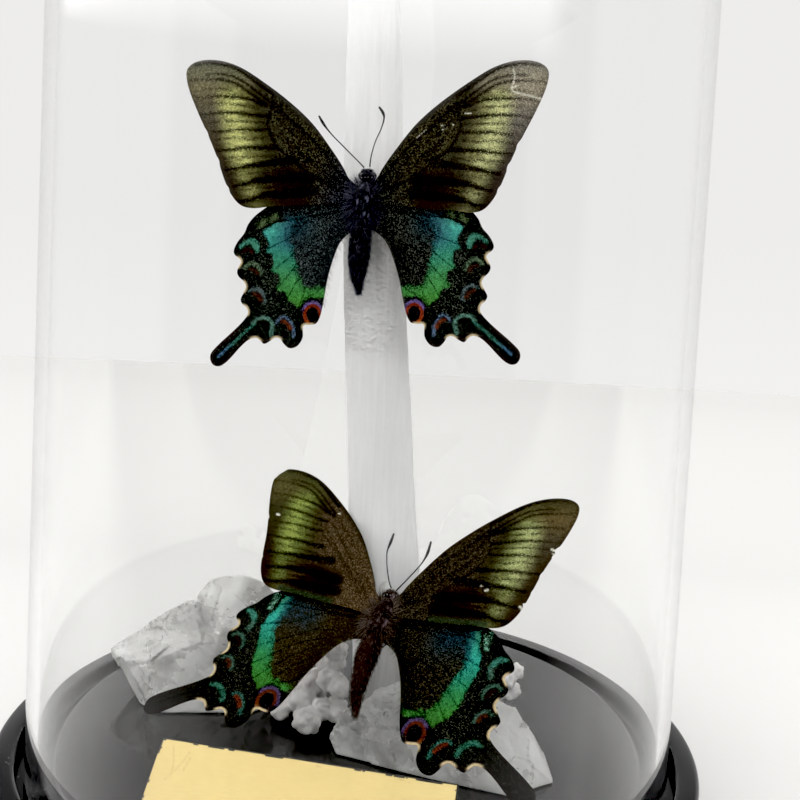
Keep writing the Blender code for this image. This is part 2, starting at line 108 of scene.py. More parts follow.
STONES_LEFT = [  # centre and radius of each lump
    (-12.9, -17.3, 4.5, 4.2), (-9.5, -8.5, 4.0, 3.7), (-5.4, -8.6, 4.4, 3.9), (-20.9, -9.4, 3.3, 3.0),
    (-23.2, -4.6, 2.9, 2.6), (-15.3, -8.0, 6.2, 4.4), (-18.9, -3.1, 3.6, 3.3), (-12.6, -5.0, 10.4, 4.2),
    (-7.4, -9.6, 13.0, 3.8), (-4.4, -12.2, 12.0, 3.4), (-7.4, -3.4, 16.4, 4.9), (-5.8, -6.8, 20.6, 3.6),
    (-5.2, -14.4, 5.4, 2.9), (-9.0, -13.6, 6.0, 3.6), (-6.6, 3.4, 5.2, 4.6), (-12.2, 0.8, 5.4, 4.6),
    (-6.2, 10.6, 3.9, 3.6), (-7.6, 4.8, 11.4, 3.9),
]
STONES_RIGHT = [
    (30.0, 2.0, 4.4, 4.1), (36.2, 5.2, 4.4, 4.1), (33.0, 9.4, 3.9, 3.7), (37.4, 1.0, 7.4, 3.9),
    (43.4, 6.4, 4.4, 4.2), (48.6, 8.6, 4.2, 3.8), (46.2, 5.4, 9.4, 3.9), (50.0, 6.6, 11.2, 2.8),
]
STONE_GAP = 0.3
STONE_KNOBS = 13  # on each lump
STONE_SPACING = 0.34

LABEL_TOP = (-10.5, -58.0, 14.9)
LABEL_WIDTH = 70.0
LABEL_LENGTH = 18.0
LABEL_THICKNESS = 1.2
LABEL_EDGE = 0.35
LABEL_LEAN = 50.0
LABEL_TURN = -14.0
LABEL_GRID = (225, 59)  # points along its face and down it
LABEL_SCRATCHES = [  # half widths and points on the face, from the middle of its top edge
    (0.09, 0.05, [(-31.5, -1.5), (-30.2, -5.0), (-29.8, -8.5)]),
    (0.08, 0.05, [(-27.0, -2.0), (-28.6, -5.5), (-31.0, -8.8)]),
    (0.07, 0.07, [(-26.5, -3.4), (-27.4, -6.6)]), (0.08, 0.05, [(22.0, -0.9), (24.6, -1.2)]),
    (0.06, 0.06, [(3.0, -0.9), (4.4, -1.1)]), (0.06, 0.06, [(-12.0, -14.5), (-4.0, -13.6)]),
]

FOREWING = [
    (3.6, 4.3), (5.5, 7.5), (8.5, 11.8), (14.0, 18.7), (20.0, 24.0), (26.5, 28.6), (33.0, 32.5),
    (38.0, 34.2), (42.5, 34.5), (46.0, 33.7), (48.0, 31.9), (48.2, 29.5), (47.3, 26.0), (45.2, 21.0),
    (42.8, 16.0), (40.5, 11.0), (38.8, 6.5), (37.3, 2.5), (35.5, -1.0), (33.0, -3.6), (29.5, -4.3),
    (24.0, -3.6), (17.0, -3.4), (9.5, -2.4), (3.6, -0.5),
]
HINDWING = [
    (3.6, -1.6), (10.0, 0.4), (18.0, 0.4), (24.0, -1.5), (28.9, -4.6), (31.3, -7.2), (32.5, -9.8),
    (34.3, -12.0), (35.4, -14.2), (35.2, -15.6), (33.9, -16.6), (33.5, -17.6), (34.2, -19.0),
    (34.6, -20.3), (34.1, -21.6), (32.8, -22.8), (32.2, -24.3), (32.9, -26.0), (33.7, -27.8),
    (33.1, -29.1), (32.1, -29.9), (31.7, -31.3), (32.4, -32.8), (34.2, -34.8), (36.9, -37.3),
    (39.6, -39.7), (42.0, -42.3), (42.3, -44.2), (41.4, -45.7), (39.8, -46.0), (38.0, -45.0),
    (36.0, -43.0), (34.0, -40.8), (31.7, -38.8), (29.6, -38.2), (28.4, -39.0), (27.4, -39.9),
    (26.0, -39.3), (24.3, -38.2), (22.9, -38.5), (22.0, -39.8), (20.4, -41.1), (18.2, -40.5),
    (16.7, -38.2), (16.5, -35.0), (14.4, -34.7), (12.8, -34.2), (11.7, -32.0), (10.9, -28.5),
    (9.8, -22.5), (8.2, -17.0), (6.3, -12.5), (4.5, -9.5), (3.7, -7.0),
]
WING_ROOTS = {  # how each outline starts and ends, hidden inside the body
    "forewing": ([(1.0, 2.6)], [(1.0, -2.4)]),
    "hindwing": ([(1.0, 0.8)], [(3.6, -9.8), (1.2, -8.8)]),
}
WING_LAYER = 0.5
WING_THICKNESS = 0.26
WING_EDGE_THICKNESS = 0.1
WING_SPACING = 0.315  # between the points of a wing's mesh

BUTTERFLIES = {
    "upper": {
        "middle": (-4.5, -9.0, 151.1),
        "turns": (0.0, -2.2, -6.0),
        "size": 1.028,
        "wings": {
            "forewing_left": (5.0, 1.1, 0.0),
            "forewing_right": (8.4, -1.8, 0.0),
            "hindwing_left": (3.5, -0.8, 0.0),
            "hindwing_right": (7.4, 1.3, 0.0),
        },
        "body": [
            (1.3, 7.2, 0.8), (1.3, 6.5, 1.5), (1.3, 5.3, 1.9), (1.1, 4.1, 1.6), (0.9, 3.3, 1.9),
            (0.6, 1.9, 2.7), (0.4, -0.4, 3.0), (0.2, -2.8, 3.0), (0.0, -5.1, 2.8), (-0.2, -7.0, 2.4),
            (-0.4, -8.6, 2.7), (-0.5, -11.9, 3.1), (-0.7, -16.1, 3.1), (-1.0, -19.7, 2.7),
            (-1.1, -23.1, 1.8), (-0.9, -25.7, 0.9), (-0.8, -26.9, 0.4),
        ],
        "antenna_left": [(0.4, -0.6, 7.8), (-1.2, -0.9, 9.4), (-3.4, -1.2, 11.5), (-7.7, -1.5, 15.7),
                         (-9.7, -1.5, 17.9), (-11.1, -1.5, 19.8), (-12.2, -1.5, 21.7)],
        "antenna_right": [(2.0, -0.6, 7.9), (2.4, -1.1, 10.7), (3.5, -1.4, 14.5), (5.1, -1.5, 18.0),
                          (5.9, -1.5, 20.8), (5.6, -1.5, 22.4), (4.5, -1.5, 24.0)],
        "glue": [(-3.9, -5.4, 149.5, 1.6), (-3.6, -4.0, 149.5, 1.4), (-3.0, -2.6, 149.5, 2.0)],
    },
    "lower": {
        "middle": (6.5, -25.2, 39.0),
        "turns": (-50.1, 0.2, -23.2),
        "size": 1.04,
        "wings": {
            "forewing_left": (8.2, 4.5, 1.8),
            "forewing_right": (8.2, 4.3, 2.8),
            "hindwing_left": (5.8, 6.9, -1.0),
            "hindwing_right": (4.7, 6.9, -2.9),
        },
        "body": [
            (0.6, 6.3, 0.8), (0.7, 5.6, 1.4), (0.8, 4.5, 1.8), (0.8, 3.3, 1.5), (0.8, 2.5, 1.9),
            (0.5, 0.7, 2.7), (0.4, -1.4, 2.9), (0.4, -4.0, 2.9), (0.5, -6.2, 2.7), (0.5, -8.0, 2.3),
            (0.4, -9.6, 2.7), (0.4, -12.5, 3.0), (0.5, -16.0, 2.7), (0.8, -19.8, 2.2),
            (1.5, -24.0, 1.8), (2.4, -27.2, 1.1), (3.2, -29.2, 0.4),
        ],
        "antenna_left": [(0.3, -1.0, 6.9), (-1.0, -1.4, 8.9), (-3.1, -1.5, 13.4), (-4.5, -1.5, 17.3),
                         (-4.8, -1.5, 19.1), (-4.8, -1.5, 21.6), (-4.9, -1.5, 24.6)],
        "antenna_right": [(1.9, -0.9, 6.4), (2.8, -1.3, 7.8), (3.8, -1.5, 9.6), (5.8, -1.5, 14.3),
                          (6.7, -1.5, 17.2), (7.0, -1.5, 20.0), (6.8, -1.5, 23.6)],
        "glue": [(7.1, -21.6, 36.2, 1.4), (7.6, -14.0, 38.0, 1.2), (8.0, -4.2, 39.5, 2.2)],
    },
}
EYE_RADIUS = 1.0
EYE_SPREAD = 1.6
EYE_STATION = 2
ANTENNA_RADII = [0.2, 0.17, 0.16, 0.17, 0.22, 0.4, 0.26]
BODY_SIDES = 40
WAIST_STATION = 9
BODY_TONES = {"upper": ((13, 13, 20), (13, 13, 19)), "lower": ((30, 21, 19), (34, 19, 15))}  # front, abdomen
THORAX_HIGHLIGHTS = {"upper": (146, 148, 176), "lower": (146, 126, 132)}  # painted highlights: paler streaks on the back of the thorax
FUR_TONES = {  # the commonest first
    "upper": [(18, 18, 24), (28, 28, 37), (44, 44, 57), (104, 104, 126)],
    "lower": [(31, 24, 18), (45, 36, 28), (68, 56, 46), (130, 116, 108)],
}
FUR_HAIRS = 6000
ROOT_HAIRS = 2600
MARGIN_HAIRS = 260  # along the inner margin of each hindwing
LEG_RADIUS = 0.28
LEG_STATIONS = (1.5, -1.5, -4.2)
LEG_ROUTE = [(0.9, 1.7, 0.0), (2.1, 3.0, 0.8), (2.5, 3.9, -0.8), (1.8, 4.3, -2.8), (1.3, 4.0, -4.0)]

# ---------------------------------------------------------------- wing markings, in wing coordinates
# A stroke is (half width at its start, half width at its end, its points).

FOREWING_VEINS = [
    (0.45, 0.45, [(5, 4), (12, 12.5), (20, 19.5), (24.5, 23.8), (25.2, 25)]),
    (0.4, 0.55, [(24.7, 24.5), (25.6, 20.3), (26.2, 18.2), (25.3, 15.7), (23.8, 12.8), (20.5, 10)]),
    (0.55, 0.45, [(20.5, 10), (16.5, 7), (14.7, 5.6), (10, 3), (5, 1)]),
    (0.45, 0.3, [(25, 26), (30, 29.4), (35, 32.4), (38, 33.2), (42, 33.6), (46, 33)]),
    (0.4, 0.3, [(25, 23.5), (30, 27.2), (33, 29.2), (36, 30.5), (40, 30.9), (43, 30.6)]),
    (0.45, 0.35, [(24.8, 22.6), (28, 24.2), (32, 26.8), (35, 28.6), (38, 29.3), (41, 29.4), (47, 29)]),
    (0.5, 0.35, [(26, 23), (28.5, 23.6), (30, 24.3), (33, 24.8), (37, 25), (41, 24.9), (45, 24.4)]),
    (0.5, 0.3, [(26, 20.2), (30, 20.4), (33, 20.7), (37, 20.8), (41, 20.5), (44.5, 20)]),
    (0.45, 0.3, [(26, 16.9), (28, 16.5), (31, 16.4), (34, 16.4), (37, 16), (40.5, 15.6)]),
    (0.65, 0.35, [(23.5, 12.2), (26, 11.9), (29, 11.8), (32, 11.6), (35, 11.2), (38, 10.9), (40, 10.6)]),
    (1.0, 0.5, [(19, 9), (22, 8.3), (25, 7.9), (28, 7.4), (31, 6.9), (34, 6.2), (37, 5.7)]),
    (1.3, 0.5, [(15, 4), (20, 4), (25, 3.5), (29, 3), (32, 2), (35, 1.3)]),
    (1.3, 0.45, [(14, 1), (20, 0), (25, -0.6), (28, -1.2), (31, -2.3), (34, -2.8)]),
]
FOREWING_FOLDS = [
    (0.25, 0.3, [(36, 26.5), (38, 26.9), (41, 26.9), (44, 26.5)]),
    (0.3, 0.3, [(29, 22), (32, 22.7), (35, 23), (38, 23.1), (42, 22.8)]),
    (0.3, 0.3, [(27, 18.5), (31, 18.6), (34, 18.7), (38, 18.4), (42, 17.9)]),
    (0.45, 0.25, [(27, 14.4), (29.5, 14.2), (31, 13.9), (34, 14.4), (37, 14), (40, 13.4)]),
    (0.5, 0.2, [(24, 9.6), (27, 9.5), (30, 9.3), (33, 9.2), (36, 8.9), (38, 8.6)]),
    (0.25, 0.2, [(20, 5.6), (25, 5.6), (30, 5), (34, 4.8), (36, 4.6)]),
    (0.3, 0.25, [(18, 2.2), (25, 1.4), (29, 1), (32, 0.4)]),
    (0.3, 0.2, [(5, 2), (15, 12), (24.6, 20.5)]),
    (0.3, 0.2, [(6, 2.5), (17, 11), (25.2, 18)]),
    (0.3, 0.2, [(7, 2), (16, 9.5), (24.8, 16)]),
]
FOREWING_BAND = [  # v, where the green starts in u, its brightest u, where it ends, how bright it gets
    (-4.0, 22.0, 27.5, 30.6, 0.5), (-2.6, 24.5, 29.0, 31.2, 0.45), (-1.5, 25.5, 30.0, 31.8, 0.65),
    (1.0, 25.5, 30.5, 32.6, 0.8), (3.0, 26.5, 32.0, 33.3, 0.65), (5.0, 26.0, 32.5, 34.4, 0.72),
    (8.0, 22.5, 33.3, 35.4, 0.9), (10.5, 22.5, 34.0, 36.6, 0.95), (13.0, 23.0, 34.5, 37.4, 1.0),
    (15.0, 24.0, 34.8, 37.6, 1.0), (17.5, 24.5, 35.3, 38.2, 0.95), (19.5, 25.5, 35.8, 38.6, 0.95),
    (22.0, 26.5, 36.0, 39.0, 0.95), (24.0, 26.5, 36.0, 39.2, 1.0), (27.0, 27.0, 35.5, 39.0, 0.75),
    (30.0, 27.0, 35.0, 38.6, 0.5), (34.0, 28.0, 35.0, 38.0, 0.35),
]
FOREWING_COSTA = [  # the inner border of the dark strip along the front edge
    (3.0, 3.6), (8.0, 10.4), (14.0, 17.2), (20.0, 22.3), (26.0, 26.6), (30.0, 29.4), (35.0, 32.3),
    (38.0, 33.1), (42.0, 33.5), (46.0, 32.8), (49.0, 31.0),
]
FOREWING_FRONT = [(3, 4), (8, 11.2), (14, 18.6), (20, 24.0), (26, 28.3), (33, 32.5), (38, 34.2),
                  (44, 34.2), (49, 32)]
# The colours of a forewing's zones as ground, scales and how thickly the scales lie
FOREWING_LOOKS = {
    "upper": {
        "cell left": ((18, 16, 11), (82, 77, 52), 0.21),
        "cell right": ((16, 14, 9), (84, 78, 52), 0.19),
        "cell rim left": 1.0,
        "cell rim right": 1.0,
        "root left": ((15, 16, 22), (72, 74, 86), 0.15),
        "root right": ((12, 12, 12), (78, 78, 68), 0.14),
        "brand": ((24, 15, 8), (54, 42, 24), 0.08),
        "costa": ((40, 37, 32), (58, 54, 48), 0.2),
        "costa tip": ((84, 81, 76), (104, 100, 92), 0.3),
        "glow left": [(28, 25, 13), (56, 53, 28), (104, 104, 60), (174, 176, 112)],
        "glow right": [(28, 25, 15), (62, 58, 38), (108, 107, 70), (172, 174, 124)],
        "inset": 0.0,
        "outset": 0.0,
        "edge left": [(-4, (34, 25, 16)), (5, (43, 34, 24)), (12, (59, 49, 32)), (20, (86, 81, 66)),
                      (27, (110, 103, 78)), (31, (107, 105, 84)), (34, (92, 92, 78))],
        "edge right": [(-4, (28, 19, 11)), (5, (45, 36, 31)), (12, (68, 62, 52)), (20, (106, 101, 92)),
                       (27, (142, 134, 116)), (31, (136, 130, 114)), (34, (118, 115, 104))],
    },
    "lower": {
        "cell left": ((42, 34, 22), (88, 75, 54), 0.28),
        "cell right": ((21, 17, 11), (76, 68, 48), 0.19),
        "cell rim left": 0.35,
        "cell rim right": 0.6,
        "root left": ((45, 35, 23), (98, 82, 60), 0.3),
        "root right": ((19, 16, 11), (74, 70, 54), 0.19),
        "brand": ((25, 16, 9), (46, 34, 20), 0.1),
        "costa": ((30, 25, 16), (58, 50, 36), 0.15),
        "costa tip": ((32, 30, 20), (60, 58, 42), 0.15),
        "glow left": [(40, 32, 17), (54, 51, 26), (82, 90, 44), (122, 134, 68)],
        "glow right": [(24, 19, 10), (50, 48, 25), (100, 105, 62), (152, 158, 108)],
        "inset": 1.0,
        "outset": -0.4,
        "edge left": [(-4, (36, 21, 8)), (5, (34, 23, 10)), (12, (38, 31, 14)), (20, (48, 47, 26)),
                      (27, (76, 71, 42)), (31, (66, 64, 37)), (34, (44, 46, 27))],
        "edge right": [(-4, (40, 28, 14)), (5, (43, 35, 19)), (12, (50, 41, 23)), (20, (62, 56, 40)),
                       (27, (86, 74, 46)), (31, (70, 63, 37)), (34, (46, 42, 24))],
    },
}
FOREWING_TORNUS = {"upper": None, "lower": (0.7, 0.5, [(14, -2.3), (19, -2.6), (24, -3.0), (28, -3.4)])}
# Pale creases and bare specks in some wings: a stroke each, or a dot's place
FOREWING_WEAR = {
    "upper_forewing_right": [
        (0.1, 0.14, [(39.2, 32.7), (39.6, 30), (39, 28), (39.4, 26.8), (42, 26), (46.7, 24.6)]),
        (0.12, 0.08, [(39.2, 27.8), (40.5, 28.2)]), (0.04, 0.02, [(14.5, 15.3), (17, 17.4)]),
        (0.1, 0.06, [(21.0, 18.4), (21.6, 18.2)]), (0.08, 0.05, [(21.2, 17.3), (21.7, 17.4)]),
        (0.08, 0.04, [(24, 18.5), (24.1, 18.2)]), (0.07, 0.02, [(27.2, 21.4), (28.8, 21.4)]),
    ],
    "lower_forewing_right": [
        (0.32, 0.3, [(42.3, 18.0), (42.8, 17.8)]), (0.2, 0.26, [(42.7, 16.7), (43.3, 16.2)]),
        (0.24, 0.2, [(26.8, 6.0), (27.3, 6.1)]), (0.14, 0.1, [(25.4, 7.3), (25.7, 7.2)]),
        (0.2, 0.25, [(36.0, 1.6), (36.6, 0.9)]),
    ],
    "lower_forewing_left": [
        (0.3, 0.24, [(40.2, 17.7), (40.9, 17.8)]), (0.2, 0.16, [(23.7, 23.9), (24.1, 23.8)]),
    ],
}
# Where a forewing's margin is scalloped or nicked: the place, its radius and its depth
FOREWING_NICKS = {
    "upper_forewing_right": [(41.6, 13.2, 1.5, 0.35), (39.2, 7.6, 1.5, 0.35), (37.0, 1.6, 1.2, 0.3)],
    "upper_forewing_left": [(42.6, 15.4, 1.4, 0.25), (39.3, 8.0, 1.6, 0.3), (36.6, 0.6, 1.1, 0.3)],
    "lower_forewing_right": [(43.9, 18.0, 1.3, 0.9), (43.0, 15.8, 0.7, 0.5), (40.6, 10.4, 1.2, 0.3),
                             (39.0, 5.4, 0.9, 0.45), (37.3, 1.9, 0.7, 0.8)],
    "lower_forewing_left": [(47.6, 31.6, 3.2, 0.9), (42.8, 16.2, 1.0, 0.4), (38.0, 3.6, 0.8, 0.25)],
}

HINDWING_VEINS = [
    (0.18, 0.2, [(6, -4), (14, -6), (20, -11), (24, -13), (28, -15), (31, -17), (33.7, -17.5)]),
    (0.16, 0.2, [(9, -9), (15, -12), (21, -17), (25.5, -20.5), (30, -23.5), (32.3, -24.2)]),
    (0.16, 0.2, [(10, -12), (16, -16), (20, -20.5), (24.5, -25.7), (29, -29), (31.9, -30.5)]),
    (0.16, 0.25, [(10, -14), (16, -20), (19.3, -24.7), (21.3, -28.3), (25, -32), (30, -34.5), (35, -38.2),
                  (40.3, -43.2)]),
    (0.16, 0.2, [(9, -16), (15.5, -24), (16.5, -27), (18.5, -31), (22, -36), (24.5, -38)]),
    (0.16, 0.2, [(8, -18), (11.5, -25), (16, -27.5), (17.2, -31), (17.4, -34.9)]),
    (0.25, 0.2, [(8, -4), (18, -6), (23.5, -6.8), (28, -8.8), (32, -12), (35, -14.5)]),
]
HINDWING_BANDS = {  # the bright band's inner and outer edge
    "upper": (
        [(10.6, -25.3), (13.5, -25.3), (15.8, -25.4), (17.3, -23.6), (18.4, -21.4), (19.2, -18.5),
         (19.7, -15.0), (20.6, -12.0), (20.8, -9.5), (19.8, -6.6)],
        [(23.4, -7.0), (27.0, -9.2), (26.6, -10.8), (25.6, -12.4), (26.6, -14.4), (24.9, -15.6),
         (24.4, -17.8), (24.9, -20.0), (23.0, -21.0), (22.9, -22.8), (23.6, -24.8), (21.4, -25.8),
         (20.9, -27.6), (19.6, -28.6), (17.8, -29.8), (16.4, -28.6), (15.0, -27.3), (10.6, -27.3)],
    ),
    "lower": (
        [(11.8, -27.0), (15.0, -27.4), (17.8, -27.2), (20.0, -24.2), (21.2, -21.0), (23.0, -18.0),
         (24.2, -15.5), (24.4, -12.5), (24.2, -10.0), (24.8, -5.0)],
        [(26.5, -5.0), (26.4, -9.4), (27.2, -11.4), (27.3, -15.0), (26.2, -18.4), (25.4, -20.3),
         (24.6, -22.5), (24.0, -24.6), (22.4, -27.4), (20.5, -29.0), (19.0, -30.2), (17.0, -29.0),
         (15.4, -28.5), (11.8, -28.4)],
    ),
}
BAND_COLOURS = {  # v, then the colour there
    "upper": [(-31.0, (64, 108, 42)), (-27.0, (60, 118, 54)), (-22.0, (62, 122, 72)), (-18.0, (52, 116, 88)),
              (-13.0, (50, 112, 104)), (-9.5, (66, 146, 134)), (-6.0, (60, 112, 98))],
    "lower": [(-31.0, (48, 92, 36)), (-26.5, (50, 106, 46)), (-22.0, (46, 112, 66)), (-18.0, (40, 112, 88)),
              (-13.0, (46, 136, 120)), (-9.0, (46, 124, 106)), (-5.0, (56, 112, 90))],
}
BAND_INNER_BLUE = {"upper": (46, 78, 92), "lower": (34, 70, 80)}  # towards the band's inner edge, high up
BAND_BLUE_REACH = {"upper": 4.5, "lower": 1.4}
HINDWING_SHEEN = {"upper": (38, 66, 76), "lower": (36, 58, 70)}
# The colours of a hindwing's disc and of its outer part as ground, scales and how thickly the scales lie
HINDWING_LOOKS = {
    "upper left": (((18, 20, 21), (84, 92, 92), 0.2), ((11, 12, 10), (92, 100, 88), 0.1)),
    "upper right": (((14, 14, 13), (82, 84, 76), 0.18), ((10, 10, 9), (92, 98, 86), 0.1)),
    "lower left": (((26, 21, 9), (70, 63, 40), 0.18), ((13, 12, 9), (74, 76, 64), 0.1)),
    "lower right": (((16, 14, 9), (70, 66, 50), 0.18), ((10, 9, 6), (76, 80, 68), 0.11)),
}
# Dim patches by the hindwing's front edge: colour, half widths and points
HINDWING_COSTAL = {
    "upper": [((78, 92, 62), 0.8, 0.9, [(23.6, -5.4), (26.0, -6.4), (28.4, -7.6)])],
    "lower": [((104, 152, 128), 0.75, 0.55, [(28.5, -5.6), (28.5, -7.6), (28.5, -9.6)])],
}
# A crescent is its colour, its half widths and its points.
HINDWING_CRESCENTS = {
    "upper": [
        ((68, 130, 110), 0.45, 0.35, [(29.0, -14.6), (29.0, -12.9), (30.2, -11.6), (32.0, -12.2),
                                      (33.6, -13.6)]),
        ((68, 126, 106), 0.8, 0.45, [(29.4, -13.2), (30.2, -12.2), (31.6, -12.1)]),
        ((44, 21, 15), 0.5, 0.4, [(30.4, -14.8), (31.8, -14.2), (33.2, -14.8)]),
        ((84, 102, 80), 0.5, 0.45, [(28.1, -20.6), (28.8, -18.8), (30.2, -17.8), (31.5, -18.3),
                                    (32.4, -19.2)]),
        ((54, 32, 25), 0.55, 0.4, [(29.0, -20.8), (29.9, -19.8), (31.0, -19.6)]),
        ((78, 92, 92), 0.55, 0.35, [(27.2, -28.2), (27.5, -26.4), (28.5, -25.2), (30.0, -24.9),
                                    (31.2, -25.6)]),
        ((64, 36, 26), 0.6, 0.4, [(28.2, -27.8), (28.8, -26.7), (30.2, -26.2)]),
        ((84, 120, 106), 0.55, 0.45, [(25.4, -37.3), (25.0, -35.5), (25.3, -34.0), (26.3, -33.1),
                                    (28.0, -32.9), (29.5, -33.3), (30.3, -34.3)]),
        ((32, 18, 12), 0.35, 0.35, [(26.2, -34.3), (27.4, -33.8), (28.8, -34.0)]),
        ((86, 106, 130), 0.4, 0.25, [(19.2, -37.8), (19.2, -36.0), (19.9, -34.2), (21.0, -32.9),
                                     (22.0, -32.5), (23.0, -33.1), (23.8, -34.2)]),
        ((104, 52, 34), 0.45, 0.3, [(20.1, -35.6), (20.7, -34.6), (21.6, -33.9), (22.4, -33.7)]),
    ],
    "lower": [
        ((54, 110, 94), 0.35, 0.35, [(30.1, -17.4), (30.0, -14.9), (30.9, -13.1), (32.2, -12.4),
                                     (33.4, -12.8)]),
        ((58, 114, 98), 0.75, 0.45, [(30.9, -13.8), (31.8, -13.0), (33.0, -12.8)]),
        ((66, 96, 82), 0.55, 0.35, [(30.4, -17.2), (30.3, -15.4)]),
        ((60, 92, 78), 0.5, 0.4, [(29.2, -22.4), (29.4, -21.0), (30.4, -19.8), (31.8, -19.4),
                                  (32.9, -20.3)]),
        ((34, 20, 14), 0.5, 0.4, [(29.9, -22.2), (30.8, -20.9), (32.0, -20.6)]),
        ((60, 88, 76), 0.5, 0.3, [(28.1, -28.4), (28.4, -27.2), (29.4, -26.1), (30.7, -25.8),
                                  (31.8, -26.6)]),
        ((70, 38, 24), 0.4, 0.35, [(28.9, -28.2), (29.4, -27.2), (30.4, -26.8)]),
        ((48, 98, 80), 0.55, 0.5, [(25.4, -36.2), (25.9, -34.9), (27.2, -33.9), (28.8, -33.3),
                                   (30.1, -34.0)]),
        ((48, 96, 84), 0.4, 0.3, [(19.3, -37.2), (19.8, -35.5), (21.0, -34.0), (22.4, -33.3),
                                  (23.7, -33.9)]),
        ((92, 42, 26), 0.45, 0.35, [(20.5, -35.8), (21.4, -34.7), (22.7, -34.1)]),
    ],
}
# The wings' colours here are as seen in their own shade. Their true ones are this many times lighter.
SHOWN = {"upper": 1.6, "lower": 1.3}
TAIL_STREAK = (0.34, 0.36, [(30, -34.5), (33, -37), (36, -39.8), (38.5, -42), (40, -43.3)])
TAIL_TONES = {"upper": ((60, 112, 96), (70, 104, 134)), "lower": ((13, 12, 8), (18, 13, 11))}
TAIL_RIMS = {"upper": (36, 26, 25), "lower": (18, 12, 10)}
EYESPOT_RADII = (1.75, 2.05)
EYESPOTS = {  # its middle, its ring's colour, the colour low in the ring and the colour above the ring
    "upper": ((13.9, -31.9), (116, 44, 26), (180, 100, 42), (90, 76, 124)),
    "lower": ((15.2, -32.1), (78, 35, 19), (110, 70, 34), (68, 58, 88)),
}
MARGIN_NOTCHES = [(33.6, -17.6), (32.3, -24.2), (31.9, -30.5), (29.5, -38.2), (24.0, -38.1), (15.4, -34.8)]

# ---------------------------------------------------------------- general helpers


def linear(colour):
    """A colour given from 0 to 255, as linear light."""
    c = np.asarray(colour, float) / 255.0
    return np.where(c <= 0.04045, c / 12.92, ((c + 0.055) / 1.055) ** 2.4)


def rgba(colour):
    return (*linear(colour), 1.0)


def smooth_step(low, high, x):
    t = np.clip((x - low) / (high - low), 0.0, 1.0)
    return t * t * (3.0 - 2.0 * t)


def lattice(cells, seed):
    """A repeatable number between -1 and 1 for each whole-numbered cell."""
    h = np.full(cells.shape[:-1], seed * 2654435761 + 97, np.uint64)
    with np.errstate(over="ignore"):
        for axis in range(cells.shape[-1]):
            h = (h ^ cells[..., axis].astype(np.uint64)) * np.uint64(0x9E3779B97F4A7C15)
            h ^= h >> np.uint64(29)
    return (h >> np.uint64(11)).astype(float) / 2.0**52 - 1.0


def blobs(points, size, seed):
    """Smooth noise between -1 and 1 at each point, with blobs about this size in the points' own unit."""
    p = np.asarray(points, float) / np.asarray(size, float)
    cell = np.floor(p).astype(np.int64)
    t = p - cell
    t = t * t * (3.0 - 2.0 * t)
    total = np.zeros(p.shape[:-1])
    for corner in itertools.product((0, 1), repeat=p.shape[-1]):
        weight = np.prod(np.where(np.array(corner) > 0, t, 1.0 - t), axis=-1)
        total += weight * lattice(cell + np.array(corner), seed)
    return total


def rough(points, size, seed, octaves=3):
    """Several sizes of noise added together."""
    total, reach = 0.0, 0.0
    for octave in range(octaves):
        share = 0.5**octave
        total = total + share * blobs(points, np.asarray(size, float) * share, seed + octave)
        reach += share
    return total / reach


def facets(points, size, seed):
    """Flat tilted patches: each cell about this size has one random slope, so that cells meet in creases."""
    cells = np.floor(points / size).astype(np.int64)
    nearest = np.full(len(points), np.inf)
    height = np.zeros(len(points))
    for step in itertools.product((-1, 0, 1), repeat=3):
        cell = cells + np.array(step)
        place = np.stack([lattice(cell, seed + k) for k in range(3)], -1) * 0.5 + 0.5
        slope = np.stack([lattice(cell, seed + 3 + k) for k in range(3)], -1)
        away = points / size - (cell + place)
        distance = (away**2).sum(-1)
        closer = distance < nearest
        nearest = np.where(closer, distance, nearest)
        height = np.where(closer, (away * slope).sum(-1), height)
    return height


def catmull_rom(points, steps, closed=False):
    """An array of points along a smooth curve through the given ones."""
    points = np.asarray(points, float)
    count = len(points)
    ends = count if closed else count - 1
    t = (np.arange(steps) / steps)[:, None]
    made = []
    for i in range(ends):
        around = [(i + k) % count if closed else min(max(i + k, 0), count - 1) for k in (-1, 0, 1, 2)]
        before, start, end, after = points[around]
        made.append(0.5 * (2 * start + (end - before) * t + (2 * before - 5 * start + 4 * end - after) * t**2
                           + (3 * start - before - 3 * end + after) * t**3))
    if not closed:
        made.append(points[-1:])
    return np.concatenate(made)


def from_floor(point):
    """A point above the base's top face, in metres from the origin."""
    x, y, z = point[:3]
    return Vector((x, y, z + FLOOR)) * MM


def to_line(points, line):
    """Each point's distance to a line of points, and how far along the line its nearest place is, 0 to 1."""
    starts, ends = line[:-1], line[1:]
    along = ends - starts
    lengths = np.maximum(np.linalg.norm(along, axis=1), 1e-9)
    before = np.concatenate([[0.0], np.cumsum(lengths)])
    best = np.full(len(points), np.inf)
    place = np.zeros(len(points))
    for i in range(len(starts)):
        t = np.clip(((points - starts[i]) @ along[i]) / lengths[i] ** 2, 0.0, 1.0)
        distance = np.linalg.norm(points - starts[i] - t[:, None] * along[i], axis=1)
        closer = distance < best
        best = np.where(closer, distance, best)
        place = np.where(closer, (before[i] + t * lengths[i]) / before[-1], place)
    return best, place


def stroke(points, wide_start, wide_end, line, soft=0.22):
    """How much each point is covered by a stroke along a line, 0 to 1."""
    distance, place = to_line(points, catmull_rom(line, 5))
    half = wide_start + (wide_end - wide_start) * place
    return 1.0 - smooth_step(half - soft, half + soft, distance)


